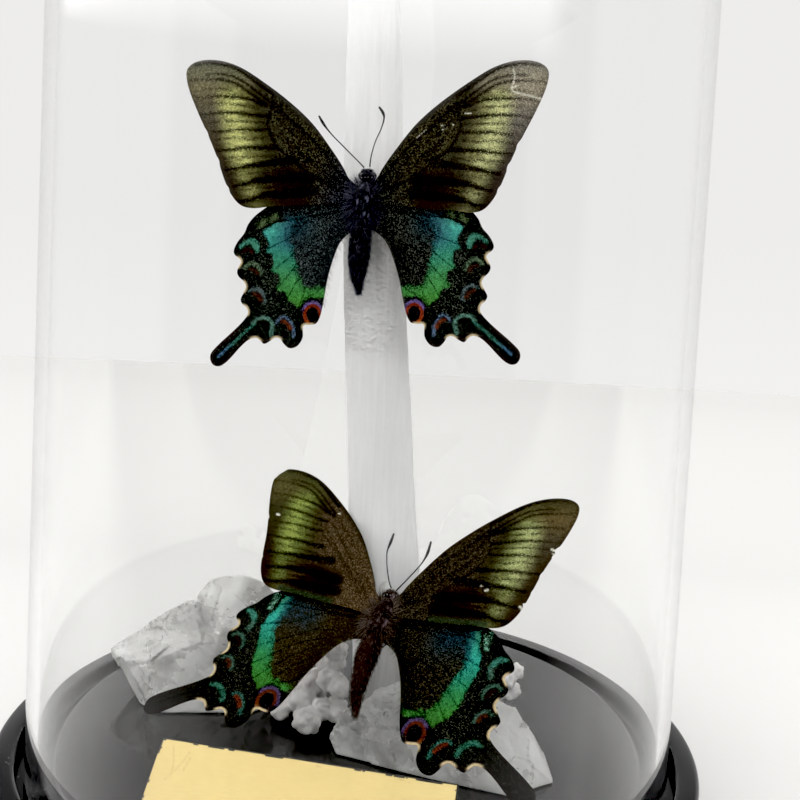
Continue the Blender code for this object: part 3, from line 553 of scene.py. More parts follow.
def inside(points, loop):
    """Which points lie inside a closed outline."""
    result = np.zeros(len(points), bool)
    ends = np.roll(loop, -1, axis=0)
    for (x0, y0), (x1, y1) in zip(loop, ends):
        if y0 == y1:
            continue
        crosses = (points[:, 1] < y0) != (points[:, 1] < y1)
        at = x0 + (points[:, 1] - y0) * (x1 - x0) / (y1 - y0)
        result ^= crosses & (points[:, 0] < at)
    return result


def mix(first, second, share):
    return first + (second - first) * share[:, None]


# ---------------------------------------------------------------- helpers that make objects


def piece(name, points, faces, materials, nodes, sharp=None):
    """A finished piece from points in metres. It stands for the CAD nodes of these names."""
    mesh = bpy.data.meshes.new(name)
    mesh.from_pydata(np.asarray(points, float).tolist(), [], [tuple(map(int, face)) for face in faces])
    finished(name, mesh, materials, nodes, sharp)


def finished(name, mesh, materials, nodes, sharp=None, place=None):
    for material in materials if isinstance(materials, list) else [materials]:
        mesh.materials.append(material)
    mesh.shade_smooth()
    if sharp:
        mesh.set_sharp_from_angle(angle=math.radians(sharp))
    obj = bpy.data.objects.new(name, mesh)
    bpy.context.scene.collection.objects.link(obj)
    if place is not None:
        obj.matrix_world = place
    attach(obj, "root")
    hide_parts(*nodes)


def skin(rows, sides):
    """Faces between rings of points, and a fan at each end to the two points that follow the rings."""
    i, j = np.arange(rows - 1)[:, None], np.arange(sides)[None, :]
    k = (j + 1) % sides
    quads = np.stack([i * sides + j, i * sides + k, (i + 1) * sides + k, (i + 1) * sides + j], -1)
    faces = quads.reshape(-1, 4).tolist()
    last = (rows - 1) * sides
    for j in range(sides):
        k = (j + 1) % sides
        faces += [[rows * sides, k, j], [rows * sides + 1, last + j, last + k]]
    return faces


def turned(profile, steps):
    """Points and faces of a profile of (radius, height) points turned about Z, with its ends on the axis."""
    profile = np.asarray(profile, float)
    rings = profile[1:-1]
    angle = np.arange(steps) * math.tau / steps
    points = np.stack([rings[:, :1] * np.cos(angle), rings[:, :1] * np.sin(angle),
                       np.repeat(rings[:, 1:], steps, axis=1)], -1).reshape(-1, 3)
    points = np.concatenate([points, [[0, 0, profile[0, 1]], [0, 0, profile[-1, 1]]]])
    return points * MM, [face[:1] + face[:0:-1] for face in skin(len(rings), steps)]


def arc(centre, radius, start, end, steps):
    """(radius, height) points on an arc of a profile, with its angles in degrees."""
    angles = np.radians(np.linspace(start, end, steps + 1))
    return [(centre[0] + radius * math.cos(a), centre[1] + radius * math.sin(a)) for a in angles]


def closed_tube(route, radii, sides):
    """The points and faces of a tube with round-pointed ends, in the route's own unit."""
    route, radii = np.asarray(route, float), np.asarray(radii, float)
    along = np.gradient(route, axis=0)
    along /= np.linalg.norm(along, axis=1)[:, None]
    side = np.cross(along, (0.0, 1.0, 0.02))
    side /= np.linalg.norm(side, axis=1)[:, None]
    other = np.cross(along, side)
    angle = (np.arange(sides) * math.tau / sides)[None, :, None]
    round_it = side[:, None] * np.cos(angle) + other[:, None] * np.sin(angle)
    rings = route[:, None] + radii[:, None, None] * round_it
    return np.concatenate([rings.reshape(-1, 3), route[:1], route[-1:]]), skin(len(rings), sides)


def taken(work):
    """A bmesh's points and faces. The bmesh is freed."""
    work.verts.index_update()
    made = np.array([v.co for v in work.verts]), [[v.index for v in face.verts] for face in work.faces]
    work.free()
    return made


def icosphere(subdivisions, radius):
    work = bmesh.new()
    bmesh.ops.create_icosphere(work, subdivisions=subdivisions, radius=radius)
    return taken(work)


class Parts:
    """Points and faces collected for one piece, with a colour for each point."""

    def __init__(self):
        self.points, self.faces, self.colours, self.slots, self.count = [], [], [], [], 0

    def add(self, points, faces, colour, slot=0):
        points = np.asarray(points, float)
        colour = np.broadcast_to(np.asarray(colour, float), (len(points), 3))
        self.points.append(points)
        self.colours.append(colour)
        self.faces += [tuple(int(i) + self.count for i in face) for face in faces]
        self.slots += [slot] * len(faces)
        self.count += len(points)

    def mesh(self, name):
        mesh = bpy.data.meshes.new(name)
        mesh.from_pydata(np.concatenate(self.points).tolist(), [], self.faces)
        mesh.polygons.foreach_set("material_index", self.slots)
        paint(mesh, "tone", np.concatenate(self.colours))
        return mesh


def paint(mesh, name, colours):
    """Gives each point of the mesh a colour, from an array of linear colours."""
    colours = np.column_stack([colours, np.ones(len(colours))]).astype(np.float32)
    mesh.attributes.new(name, "FLOAT_COLOR", "POINT").data.foreach_set("color", colours.ravel())


def measure(mesh, name, values):
    """Gives each point of the mesh a number."""
    layer = mesh.attributes.new(name, "FLOAT", "POINT")
    layer.data.foreach_set("value", np.asarray(values, np.float32))


def remeshed(name, parts, voxel):
    """Several overlapping closed forms made into one even mesh."""
    mesh = bpy.data.meshes.new(name)
    joined = bmesh.new()
    for points, faces in parts:
        verts = [joined.verts.new(point) for point in points]
        for face in faces:
            joined.faces.new([verts[i] for i in face])
    joined.to_mesh(mesh)
    joined.free()
    obj = bpy.data.objects.new(name, mesh)
    bpy.context.scene.collection.objects.link(obj)
    remesh = obj.modifiers.new("remesh", "REMESH")
    remesh.mode = "VOXEL"
    remesh.voxel_size = voxel * MM
    bpy.context.view_layer.update()
    made = bpy.data.meshes.new_from_object(obj.evaluated_get(bpy.context.evaluated_depsgraph_get()))
    bpy.data.objects.remove(obj, do_unlink=True)
    bpy.data.meshes.remove(mesh)
    return made


def mesh_arrays(mesh):
    """A mesh's points in millimetres and its point normals."""
    points = np.empty(len(mesh.vertices) * 3)
    normals = np.empty(len(mesh.vertices) * 3)
    mesh.vertices.foreach_get("co", points)
    mesh.vertices.foreach_get("normal", normals)
    return points.reshape(-1, 3) / MM, normals.reshape(-1, 3)


def move_points(mesh, points):
    mesh.vertices.foreach_set("co", (points * MM).ravel())
    mesh.update()


# ---------------------------------------------------------------- materials


def feed(tree, node, inputs):
    """Sets a node's inputs to values, or links them to other nodes' outputs."""
    for key, value in inputs.items():
        if isinstance(value, bpy.types.NodeSocket):
            tree.links.new(value, node.inputs[key])
        else:
            node.inputs[key].default_value = value


def make_node(tree, kind, inputs=None, **settings):
    made = tree.nodes.new(kind)
    for key, value in settings.items():
        setattr(made, key, value)
    feed(tree, made, inputs or {})
    return made


def new_material(name):
    material = bpy.data.materials.new(name)
    material.use_nodes = True
    tree = material.node_tree
    return material, tree, tree.nodes["Principled BSDF"]


def place_node(tree, stretch=(1.0, 1.0, 1.0)):
    """The piece's own coordinates in millimetres, stretched."""
    coordinates = make_node(tree, "ShaderNodeTexCoord")
    return make_node(tree, "ShaderNodeMapping", {
        "Vector": coordinates.outputs["Object"], "Scale": tuple(1.0 / (MM * s) for s in stretch),
    }).outputs["Vector"]


def noise_node(tree, place, size, detail=3.0, roughness=0.5):
    """Noise with features about this many millimetres across."""
    return make_node(tree, "ShaderNodeTexNoise", {
        "Vector": place, "Scale": 1.0 / size, "Detail": detail, "Roughness": roughness,
    }).outputs["Fac"]


def ranged(tree, value, low, high, to_low=0.0, to_high=1.0):
    return make_node(tree, "ShaderNodeMapRange", {
        "Value": value, "From Min": low, "From Max": high, "To Min": to_low, "To Max": to_high,
    }).outputs["Result"]


def maths(tree, operation, first, second=0.0):
    return make_node(tree, "ShaderNodeMath", {0: first, 1: second}, operation=operation).outputs[0]


def mixed(tree, share, first, second, blend="MIX"):
    inputs = {0: share, 6: first, 7: second}
    return make_node(tree, "ShaderNodeMix", inputs, data_type="RGBA", blend_type=blend).outputs[2]


def spread(tree, value, low, high, first, second):
    """One colour, from 0 to 255, where a value is low, running into another where it is high."""
    return mixed(tree, ranged(tree, value, low, high), rgba(first), rgba(second))


def attribute(tree, name, output="Color"):
    return make_node(tree, "ShaderNodeAttribute", attribute_name=name).outputs[output]


def glow(weight, reach):
    """Light that spreads this many millimetres under the surface."""
    return {"Subsurface Weight": weight, "Subsurface Radius": (1.0, 1.0, 1.0), "Subsurface Scale": reach * MM}


def bumped(tree, shader, height, distance):
    """Relief of this many millimetres from a height between 0 and 1."""
    bump = make_node(tree, "ShaderNodeBump", {"Height": height, "Distance": distance * MM, "Strength": 1.0})
    tree.links.new(bump.outputs["Normal"], shader.inputs["Normal"])


def gloss_black():
    """Black lacquer with a little haze and dust."""
    material, tree, shader = new_material("gloss black")
    place = place_node(tree)
    dust = make_node(tree, "ShaderNodeTexVoronoi", {"Vector": place, "Scale": 0.35, "Randomness": 1.0})
    specks = ranged(tree, dust.outputs["Distance"], 0.03, 0.06, 1.0, 0.0)
    feed(tree, shader, {
        "Base Color": mixed(tree, specks, (0.006, 0.006, 0.0065, 1.0), (0.22, 0.22, 0.22, 1.0)),
        "Roughness": ranged(tree, noise_node(tree, place, 30.0, 4.0), 0.3, 0.75, 0.05, 0.16), "IOR": 1.6,
    })
    return material


def clear_glass():
    material, tree, shader = new_material("clear glass")
    feed(tree, shader, {"Base Color": (0.985, 0.987, 0.986, 1.0), "Roughness": 0.0, "IOR": 1.45,
                        "Transmission Weight": 1.0})
    return material


def selenite():
    """Satin white crystal with upright fibres, wrinkled along one stretch."""
    material, tree, shader = new_material("selenite")
    fibres = noise_node(tree, place_node(tree, (1.0, 1.0, 28.0)), 0.9, 4.0, 0.6)
    clouds = noise_node(tree, place_node(tree, (1.0, 1.0, 2.5)), 11.0, 4.0)
    colour = spread(tree, clouds, 0.3, 0.7, (243, 243, 242), (252, 252, 252))
    streaks = spread(tree, fibres, 0.35, 0.7, (244, 244, 244), (255, 255, 255))
    feed(tree, shader, {
        "Base Color": mixed(tree, 0.6, colour, streaks, "MULTIPLY"),
        "Roughness": ranged(tree, fibres, 0.3, 0.7, 0.5, 0.3), **glow(0.35, 3.0),
    })
    upright = make_node(tree, "ShaderNodeSeparateXYZ", {"Vector": place_node(tree)}).outputs["Z"]
    low, high = (FLOOR + height for height in COLUMN_ROUGH_PATCH)
    patch = maths(tree, "MULTIPLY", ranged(tree, upright, low - 3, low + 5),
                  ranged(tree, upright, high - 4, high + 3, 1.0, 0.0))
    scratches = noise_node(tree, place_node(tree, (1.0, 1.0, 0.8)), 1.1, 6.0, 0.75)
    wild = maths(tree, "MULTIPLY", maths(tree, "MULTIPLY", scratches, patch), 4.0)
    bumped(tree, shader, maths(tree, "ADD", fibres, wild), 0.12)
    return material


def quartz():
    """Milky crystal: cloudy white with clearer depths and pale cracks."""
    material, tree, shader = new_material("quartz")
    veils = noise_node(tree, place_node(tree, (1.0, 1.4, 0.8)), 13.0, 5.0, 0.55)
    cells = {"Vector": place_node(tree, (1.0, 1.0, 1.8)), "Scale": 0.16}
    cracks = make_node(tree, "ShaderNodeTexVoronoi", cells, feature="DISTANCE_TO_EDGE")
    lines = ranged(tree, cracks.outputs["Distance"], 0.0, 0.02, 0.3, 0.0)
    colour = spread(tree, veils, 0.35, 0.62, (210, 209, 207), (238, 238, 236))
    feed(tree, shader, {
        "Base Color": mixed(tree, lines, colour, (1.0, 1.0, 1.0, 1.0)),
        "Transmission Weight": ranged(tree, veils, 0.35, 0.65, 0.5, 0.2),
        "Roughness": ranged(tree, veils, 0.3, 0.7, 0.18, 0.4), "IOR": 1.54, **glow(0.4, 4.0),
    })
    bumped(tree, shader, noise_node(tree, place_node(tree), 1.6, 4.0, 0.55), 0.1)
    return material


def white_stone():
    material, tree, shader = new_material("white stone")
    shade = noise_node(tree, place_node(tree), 5.0, 3.0)
    feed(tree, shader, {
        "Base Color": spread(tree, shade, 0.3, 0.7, (222, 219, 217), (242, 241, 240)),
        "Roughness": 0.7, **glow(0.2, 1.0),
    })
    bumped(tree, shader, noise_node(tree, place_node(tree), 0.8, 5.0, 0.6), 0.2)
    return material


def gold_face():
    """A brushed brass-coloured film with long fine scratches and a soft mottle."""
    material, tree, shader = new_material("gold face")
    mottle = noise_node(tree, place_node(tree), 7.0, 5.0, 0.6)
    brushed = noise_node(tree, place_node(tree, (14.0, 1.0, 1.0)), 0.35, 4.0, 0.7)
    colour = spread(tree, mottle, 0.3, 0.7, (174, 155, 103), (184, 165, 111))
    colour = mixed(tree, ranged(tree, brushed, 0.4, 0.8, 0.0, 0.25), colour, rgba((196, 180, 134)))
    worn = maths(tree, "MULTIPLY", attribute(tree, "worn", "Fac"), 0.45)
    feed(tree, shader, {
        "Base Color": mixed(tree, worn, colour, rgba((110, 92, 52))), "Metallic": 0.6,
        "Roughness": ranged(tree, mottle, 0.3, 0.7, 0.3, 0.42),
    })
    bumped(tree, shader, brushed, 0.02)
    return material


def matt_black():
    material, tree, shader = new_material("matt black")
    grain = noise_node(tree, place_node(tree), 0.6, 4.0)
    feed(tree, shader, {
        "Base Color": mixed(tree, grain, (0.012, 0.012, 0.012, 1.0), (0.028, 0.027, 0.026, 1.0)),
        "Roughness": 0.55,
    })
    bumped(tree, shader, grain, 0.06)
    return material


def clear_glue():
    """Set glue, cloudy like the crystal behind it."""
    material, tree, shader = new_material("clear glue")
    ripple = noise_node(tree, place_node(tree), 1.2, 3.0)
    feed(tree, shader, {
        "Base Color": mixed(tree, ripple, rgba((226, 226, 223)), rgba((244, 244, 242))),
        "Transmission Weight": 0.45, "IOR": 1.48, "Roughness": ranged(tree, ripple, 0.3, 0.7, 0.3, 0.5),
    })
    bumped(tree, shader, ripple, 0.15)
    return material


def wing_scales(name, grain):
    """Bright scales strewn over a dark ground: "cover" says how thickly at each point."""
    material, tree, shader = new_material(name)
    cells = make_node(tree, "ShaderNodeTexVoronoi", {"Vector": place_node(tree), "Scale": 1.0 / grain})
    parts = make_node(tree, "ShaderNodeSeparateColor", {"Color": cells.outputs["Color"]})
    cover = maths(tree, "SUBTRACT", attribute(tree, "cover", "Fac"), parts.outputs["Red"])
    lively = ranged(tree, parts.outputs["Green"], 0.0, 1.0, 0.55, 1.45)
    bright = mixed(tree, 1.0, attribute(tree, "tint"), lively, "MULTIPLY")
    feed(tree, shader, {
        "Base Color": mixed(tree, ranged(tree, cover, -0.07, 0.1), attribute(tree, "ground"), bright),
        "Roughness": 0.62, "Specular IOR Level": 0.06,
    })
    bumped(tree, shader, parts.outputs["Blue"], 0.03)
    return material


def toned(name, roughness, specular, grain, relief):
    """A surface that takes its colour from the points' tone, with a fine grain."""
    material, tree, shader = new_material(name)
    noise = noise_node(tree, place_node(tree), grain, 4.0, 0.6)
    lively = ranged(tree, noise, 0.3, 0.7, 0.6, 1.4)
    feed(tree, shader, {
        "Base Color": mixed(tree, 1.0, attribute(tree, "tone"), lively, "MULTIPLY"),
        "Roughness": roughness, "Specular IOR Level": specular,
    })
    bumped(tree, shader, noise, relief)
    return material


def floor_painted_light_and_shade():
    """Pale, with painted light and shade that change with distance in Y: painted dark shade in front of the
    part, so that the glass reflects less of it; painted light round the base, to cancel the shadow that the
    base and dome cast there; and painted shade further back, darker towards the horizon to meet the backdrop.
    """
    material, tree, shader = new_material("floor with painted light and shade")
    place = make_node(tree, "ShaderNodeTexCoord").outputs["Object"]
    depth = make_node(tree, "ShaderNodeSeparateXYZ", {"Vector": place}).outputs["Y"]
    # Painted shade: darker further back, towards the horizon.
    pale = mixed(tree, ranged(tree, depth, 0.25, 3.0), (0.362, 0.36, 0.356, 1.0), (0.335, 0.333, 0.329, 1.0))
    # Painted light: lightest round the base, cancelling the shadow that the base and dome cast.
    pale = mixed(tree, ranged(tree, depth, 0.03, 0.25), (0.43, 0.428, 0.423, 1.0), pale)
    # Painted shade: dark in front of the part, so that the glass reflects less of it.
    feed(tree, shader, {
        "Base Color": mixed(tree, ranged(tree, depth, -0.17, -0.07), (0.11, 0.109, 0.107, 1.0), pale),
        "Roughness": 0.9, "Specular IOR Level": 0.0,
    })
    return material


# ---------------------------------------------------------------- base, dome, column, stones, label


def make_base():
    top, floor = BASE_TOP, BASE_TOP - GROOVE_DEPTH
    edge = BASE_EDGE
    inner, outer = GROOVE_INNER_RADIUS, GROOVE_OUTER_RADIUS
    profile = [(0.0, top), (inner * 0.5, top), (inner - edge - 0.6, top)]
    profile += arc((inner - edge, top - edge), edge, 90, 0, 5)
    profile += [(inner, floor + 0.4), (inner + 0.3, floor), (outer - 0.3, floor), (outer, floor + 0.4)]
    profile += arc((outer + edge, top - edge), edge, 180, 90, 5)
    profile += [(BASE_RADIUS - edge - 0.4, top)]
    profile += arc((BASE_RADIUS - edge, top - edge), edge, 90, 0, 5)
    profile += [(BASE_RADIUS, edge + 0.4)]
    profile += arc((BASE_RADIUS - edge, edge), edge, 0, -90, 5)
    profile += [(BASE_RADIUS * 0.5, 0.0), (0.0, 0.0)]
    points, faces = turned(profile, BASE_STEPS)
    piece("gloss_base", points, faces, gloss_black(), ["base"], sharp=40.0)


def make_dome():
    foot, spring = DOME_FOOT, DOME_SPRING
    outer, inner = DOME_RADIUS, DOME_RADIUS - DOME_WALL
    lip = DOME_WALL / 2
    profile = arc((0.0, spring), outer, 90, 0, 28)
    profile += [(outer, foot + (spring - foot) * share) for share in (0.8, 0.6, 0.4, 0.2, 0.05)]
    profile += arc((outer - lip, foot + lip), lip, 0, -180, 8)
    profile += [(inner, foot + (spring - foot) * share) for share in (0.05, 0.2, 0.4, 0.6, 0.8)]
    profile += arc((0.0, spring), inner, 0, 90, 28)
    profile[0] = (0.0, spring + outer)
    profile[-1] = (0.0, spring + inner)
    points, faces = turned(profile, DOME_STEPS)
    piece("dome", points, faces, clear_glass(), ["glass_dome"])


def column_section(heights):
    """Centre in x, half width and half depth of the column at each height."""
    smooth = catmull_rom(COLUMN_STATIONS, 8)
    return [np.interp(heights, smooth[:, 0], smooth[:, k]) for k in (1, 2, 3)]


def make_column():
    """A fluted stick, wrinkled along one stretch of its front and broken off slanting at the top."""
    sides, top, last = COLUMN_SIDES, COLUMN_STATIONS[-1][0], COLUMN_STATIONS[-3][0]
    low, high = COLUMN_ROUGH_PATCH
    stretches = [
        (COLUMN_STATIONS[0][0], low - 6), (low - 5.7, high + 5.7), (high + 6, top - 9), (top - 8.6, top),
    ]
    heights = np.concatenate([np.linspace(*ends, rows) for ends, rows in zip(stretches, COLUMN_ROWS)])
    centre, half_width, half_depth = column_section(heights)
    angle = (np.arange(sides) + 0.5) * math.tau / sides
    c, s = np.cos(angle), np.sin(angle)
    reach = (np.abs(c) ** COLUMN_SQUARENESS + np.abs(s) ** COLUMN_SQUARENESS) ** (-1 / COLUMN_SQUARENESS)
    x = half_width[:, None] * (reach * c)[None]
    y = half_depth[:, None] * (reach * s)[None]
    h = np.repeat(heights[:, None], sides, axis=1)
    around = np.stack([c[None] * 9 + 0 * h, s[None] * 9 + 0 * h, h], -1)
    fibres = 0.16 * blobs(around, (1.1, 1.1, 30.0), 11) + 0.3 * blobs(around, (4.0, 4.0, 70.0), 12)
    ledges = 0.18 * np.round(2.5 * blobs(around, (2.6, 2.6, 45.0), 13))
    grains = 0.22 * np.maximum(rough(around, (1.2, 1.2, 1.6), 14) - 0.3, 0.0)
    patch = smooth_step(low - 4, low + 5, h) * (1 - smooth_step(high - 5, high + 4, h))
    patch = patch * smooth_step(0.1, 0.6, -s) * (1 - 0.75 * smooth_step(0.2, 0.7, c))
    crumple = 0.6 * (0.5 - np.abs(rough(around, (2.0, 2.0, 2.0), 15, 4))) * patch
    crumple = crumple + 0.35 * facets(around.reshape(-1, 3), 1.1, 17).reshape(h.shape) * patch
    end = smooth_step(top - 7, top, h)
    broken = end * 0.6 * facets(around.reshape(-1, 3), 4.0, 16).reshape(h.shape)
    out = (fibres + ledges) * (1 - 0.5 * end) + grains + crumple - 0.35
    scale = 1.0 + out / np.hypot(x, y)
    slant = smooth_step(last, top, h) * COLUMN_TOP_SLANT * x
    points = np.stack([centre[:, None] + x * scale, COLUMN_MIDDLE_Y + y * scale, h + slant + broken], -1)
    middle_low = [centre[0], COLUMN_MIDDLE_Y, heights[0]]
    middle_high = [centre[-1], COLUMN_MIDDLE_Y, top + 0.4]
    points = np.concatenate([points.reshape(-1, 3), [middle_low, middle_high]])
    points = (points + (0, 0, FLOOR)) * MM
    faces = skin(len(heights), sides)
    piece("crystal_column", points, faces, selenite(), ["selenite_column"], sharp=50.0)


def hull(corners):
    """Points and faces of the convex solid with these corners, standing just off the floor."""
    chunk = bmesh.new()
    verts = [chunk.verts.new(from_floor((x, y, z + STONE_GAP))) for x, y, z in corners]
    made = bmesh.ops.convex_hull(chunk, input=verts)
    spare = {v for v in made["geom_interior"] + made["geom_unused"] if isinstance(v, bmesh.types.BMVert)}
    bmesh.ops.delete(chunk, geom=list(spare), context="VERTS")
    return taken(chunk)


def make_quartz(side, hulls, seed, material):
    """Broad flat facets, with small sharp ones along the crest."""
    name = f"quartz_chunk_{side}"
    mesh = remeshed(name, [hull(corners) for corners in hulls], QUARTZ_SPACING)
    points, normals = mesh_arrays(mesh)
    height = points[:, 2] - FLOOR - STONE_GAP
    crest = np.interp(points[:, 0], *np.array(QUARTZ_CRESTS[side]).T)
    broken = smooth_step(-9.0, -3.0, height - crest + 2 * rough(points, 5.0, seed + 5))
    out = 0.8 * facets(points, 9.0, seed) + 0.2 * facets(points, 3.4, seed + 10)
    out = out + 0.45 * broken * facets(points, 1.5, seed + 20)
    out = np.clip(out, -1.2, 0.45) - 0.15
    moved = points + normals * out[:, None]
    keep = smooth_step(0.2, 2.0, height)
    moved = points + (moved - points) * keep[:, None]
    moved[:, 2] = np.maximum(moved[:, 2], FLOOR + STONE_GAP)
    move_points(mesh, moved)
    finished(name, mesh, material, [f"quartz_{side}"], sharp=26.0)


def ball(centre, radius, subdivisions=3):
    points, faces = icosphere(subdivisions, radius * MM)
    return points + np.array(from_floor(centre)), faces


def make_stones(side, lumps, seed, material):
    """Each lump is a knobbly cluster, like a small cauliflower."""
    name = f"stones_{side}"
    chance = random.Random(seed)
    forms = []
    for x, y, z, r in lumps:
        forms.append(ball((x, y, z + STONE_GAP), 0.86 * r))
        for knob in range(STONE_KNOBS):
            rise = -0.7 + 1.65 * (knob + 0.5) / STONE_KNOBS
            turn = 2.4 * knob + chance.uniform(-0.4, 0.4)
            flat = math.sqrt(max(1 - rise * rise, 0.05))
            size = r * chance.uniform(0.26, 0.42)
            reach = r - 0.85 * size
            forms.append(ball((x + reach * flat * math.cos(turn), y + reach * flat * math.sin(turn),
                               z + STONE_GAP + reach * rise), size, 2))
    mesh = remeshed(name, forms, STONE_SPACING)
    points, normals = mesh_arrays(mesh)
    out = 0.1 * rough(points, 1.2, seed + 70, 3)
    moved = points + normals * out[:, None]
    moved[:, 2] = np.maximum(moved[:, 2], FLOOR + STONE_GAP)
    move_points(mesh, moved)
    finished(name, mesh, material, [f"white_{name}"])


def make_label():
    """The plate: a gold face with a black bevelled edge, a little uneven along its rim."""
    columns, rows = LABEL_GRID
    edge = LABEL_EDGE
    u, v = np.meshgrid(np.linspace(-0.5, 0.5, columns), np.linspace(0.0, -1.0, rows))
    face = np.stack([u * (LABEL_WIDTH - 2 * edge), v * (LABEL_LENGTH - 2 * edge) - edge], -1).reshape(-1, 2)
    height = 0.03 * rough(face, 9.0, 41, 2)
    index = np.arange(rows * columns).reshape(rows, columns)
    rim = np.concatenate([index[0, :-1], index[:-1, -1], index[-1, :0:-1], index[:0:-1, 0]])
    edge_point = face[rim]
    centre = np.array([0.0, -LABEL_LENGTH / 2])
    half = np.array([LABEL_WIDTH, LABEL_LENGTH]) / 2
    away = (edge_point - centre) / (half - edge)
    outward = np.where(np.abs(np.abs(away) - 1) < 1e-6, np.sign(away), 0.0)
    nibbled = 0.1 * np.maximum(rough(edge_point, 1.2, 42, 3), 0.0)[:, None]
    layers = [(edge - nibbled, -edge), (edge - 0.4 * nibbled, -0.6), (edge, -LABEL_THICKNESS)]
    points = [np.column_stack([face, height])]
    for grow, level in layers:
        points.append(np.column_stack([edge_point + outward * grow, np.full(len(rim), level)]))
    points = np.concatenate(points)
    faces, slots = [], []
    chipped = rough(face, 2.2, 43, 3).reshape(rows, columns)
    for i in range(rows - 1):
        for j in range(columns - 1):
            faces.append((index[i, j], index[i + 1, j], index[i + 1, j + 1], index[i, j + 1]))
            inward = min(i, j, rows - 2 - i, columns - 2 - j)
            slots.append(1 if chipped[i, j] > 0.12 + 0.6 * inward else 0)
    starts = [rows * columns + k * len(rim) for k in range(len(layers))]
    loops = [list(rim)] + [list(range(start, start + len(rim))) for start in starts]
    for upper, lower in zip(loops, loops[1:]):
        for j in range(len(rim)):
            k = (j + 1) % len(rim)
            faces.append((upper[j], upper[k], lower[k], lower[j]))
            slots.append(1)
    faces.append(tuple(loops[-1]))
    slots.append(1)
    mesh = bpy.data.meshes.new("label")
    mesh.from_pydata((points * MM).tolist(), [], [tuple(map(int, f)) for f in faces])
    mesh.polygons.foreach_set("material_index", slots)
    worn = np.zeros(len(points))
    worn[:len(face)] = strongest(face, LABEL_SCRATCHES, 0.14)
    measure(mesh, "worn", worn)
    place = (Matrix.Translation(from_floor(LABEL_TOP)) @ Matrix.Rotation(math.radians(LABEL_TURN), 4, "Z")
             @ Matrix.Rotation(math.radians(LABEL_LEAN), 4, "X"))
    finished("label", mesh, [gold_face(), MATT_BLACK], ["label_plate"], sharp=30.0, place=place)
    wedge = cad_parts["label_wedge"]
    for material_slot in wedge.material_slots:
        material_slot.material = MATT_BLACK


def make_glue(butterfly, shape, material):
    route = np.array([place[:3] for place in shape["glue"]])
    radii = np.array([place[3] for place in shape["glue"]])
    smooth = catmull_rom(np.column_stack([route, radii]), 8)
    ends = np.ones(len(smooth))
    ends[[0, -1]] = 0.55
    points, faces = closed_tube(smooth[:, :3], smooth[:, 3] * ends, 20)
    points = (points + (0, 0, FLOOR)) * MM
    piece(f"{butterfly}_clear_glue", points, faces, material, [f"{butterfly}_glue"])


# ---------------------------------------------------------------- butterflies


def butterfly_place(shape):
    turns = [Matrix.Rotation(math.radians(turn), 4, axis) for turn, axis in zip(shape["turns"], "XYZ")]
    return Matrix.Translation(from_floor(shape["middle"])) @ turns[2] @ turns[0] @ turns[1]


def wing_place(shape, key):
    rise, turn, twist = shape["wings"][key]
    side = 1 if key.endswith("right") else -1
    layer = WING_LAYER if key.startswith("forewing") else -WING_LAYER
    return (
        butterfly_place(shape)
        @ Matrix.Rotation(math.pi / 2, 4, "X")
        @ Matrix.Rotation(-side * math.radians(rise), 4, "Y")
        @ Matrix.Rotation(math.radians(twist), 4, "X")
        @ Matrix.Rotation(side * math.radians(turn), 4, "Z")
        @ Matrix.Translation((0, 0, layer * MM))
    )


def nicked(curve, nicks):
    """The outline's curve, drawn in round each nick."""
    middle = np.array([25.0, 14.0])
    for u, v, radius, depth in nicks:
        away = np.linalg.norm(curve - (u, v), axis=1)
        inward = middle - curve
        inward /= np.linalg.norm(inward, axis=1)[:, None]
        curve = curve + inward * (depth * (1 - smooth_step(0.2, 1.0, away / radius)))[:, None]
    return curve


def rooted(kind):
    """A wing's outline, with its root running on into the body."""
    start, end = WING_ROOTS[kind]
    if kind == "forewing":
        return start + FOREWING[:-1] + end
    return start + HINDWING[1:-2] + end


def wing_sheet(outline, nicks=()):
    """An even net of triangles inside an outline: its points, its faces, how many points lie on the outline,
    and how far each point is from it."""
    curve = nicked(catmull_rom(outline, 8), nicks)
    lengths = np.concatenate([[0], np.cumsum(np.linalg.norm(np.diff(curve, axis=0), axis=1))])
    places = np.linspace(0, lengths[-1], int(lengths[-1] / (WING_SPACING * 0.9)) + 1)
    loop = np.column_stack([np.interp(places, lengths, curve[:, k]) for k in (0, 1)])
    gap = loop[0] - loop[-1]
    steps = int(np.linalg.norm(gap) / WING_SPACING)
    loop = np.concatenate([loop, loop[-1] + gap * (np.arange(1, steps) / steps)[:, None]])
    low, high = loop.min(0), loop.max(0)
    row_height = WING_SPACING * math.sqrt(3) / 2
    rows = np.arange(low[1], high[1], row_height)
    columns = np.arange(low[0], high[0], WING_SPACING)
    u, v = np.meshgrid(columns, rows)
    u = u + (np.arange(len(rows)) % 2)[:, None] * WING_SPACING / 2
    grid = np.column_stack([u.ravel(), v.ravel()])
    grid = grid[inside(grid, loop)]
    edge, _ = to_line(grid, np.concatenate([loop, loop[:1]]))
    grid = grid[edge > WING_SPACING * 0.55]
    points = np.concatenate([loop, grid])
    count = len(loop)
    edges = [(i, (i + 1) % count) for i in range(count)]
    made, _, faces, _, _, _ = delaunay_2d_cdt([Vector(p) for p in points], edges, [], 1, 1e-5)
    points = np.array([tuple(p) for p in made])
    edge, _ = to_line(points, np.concatenate([loop, loop[:1]]))
    return points, faces, count, edge


def strongest(points, strokes, soft=0.22):
    """The darkest of several strokes at each point."""
    return np.max([stroke(points, a, b, line, soft) for a, b, line in strokes], axis=0)


def ramp(values, steps):
    """Colours read from a list of (value, colour)."""
    places = [place for place, _ in steps]
    colours = linear([colour for _, colour in steps])
    return np.column_stack([np.interp(values, places, colours[:, k]) for k in range(3)])


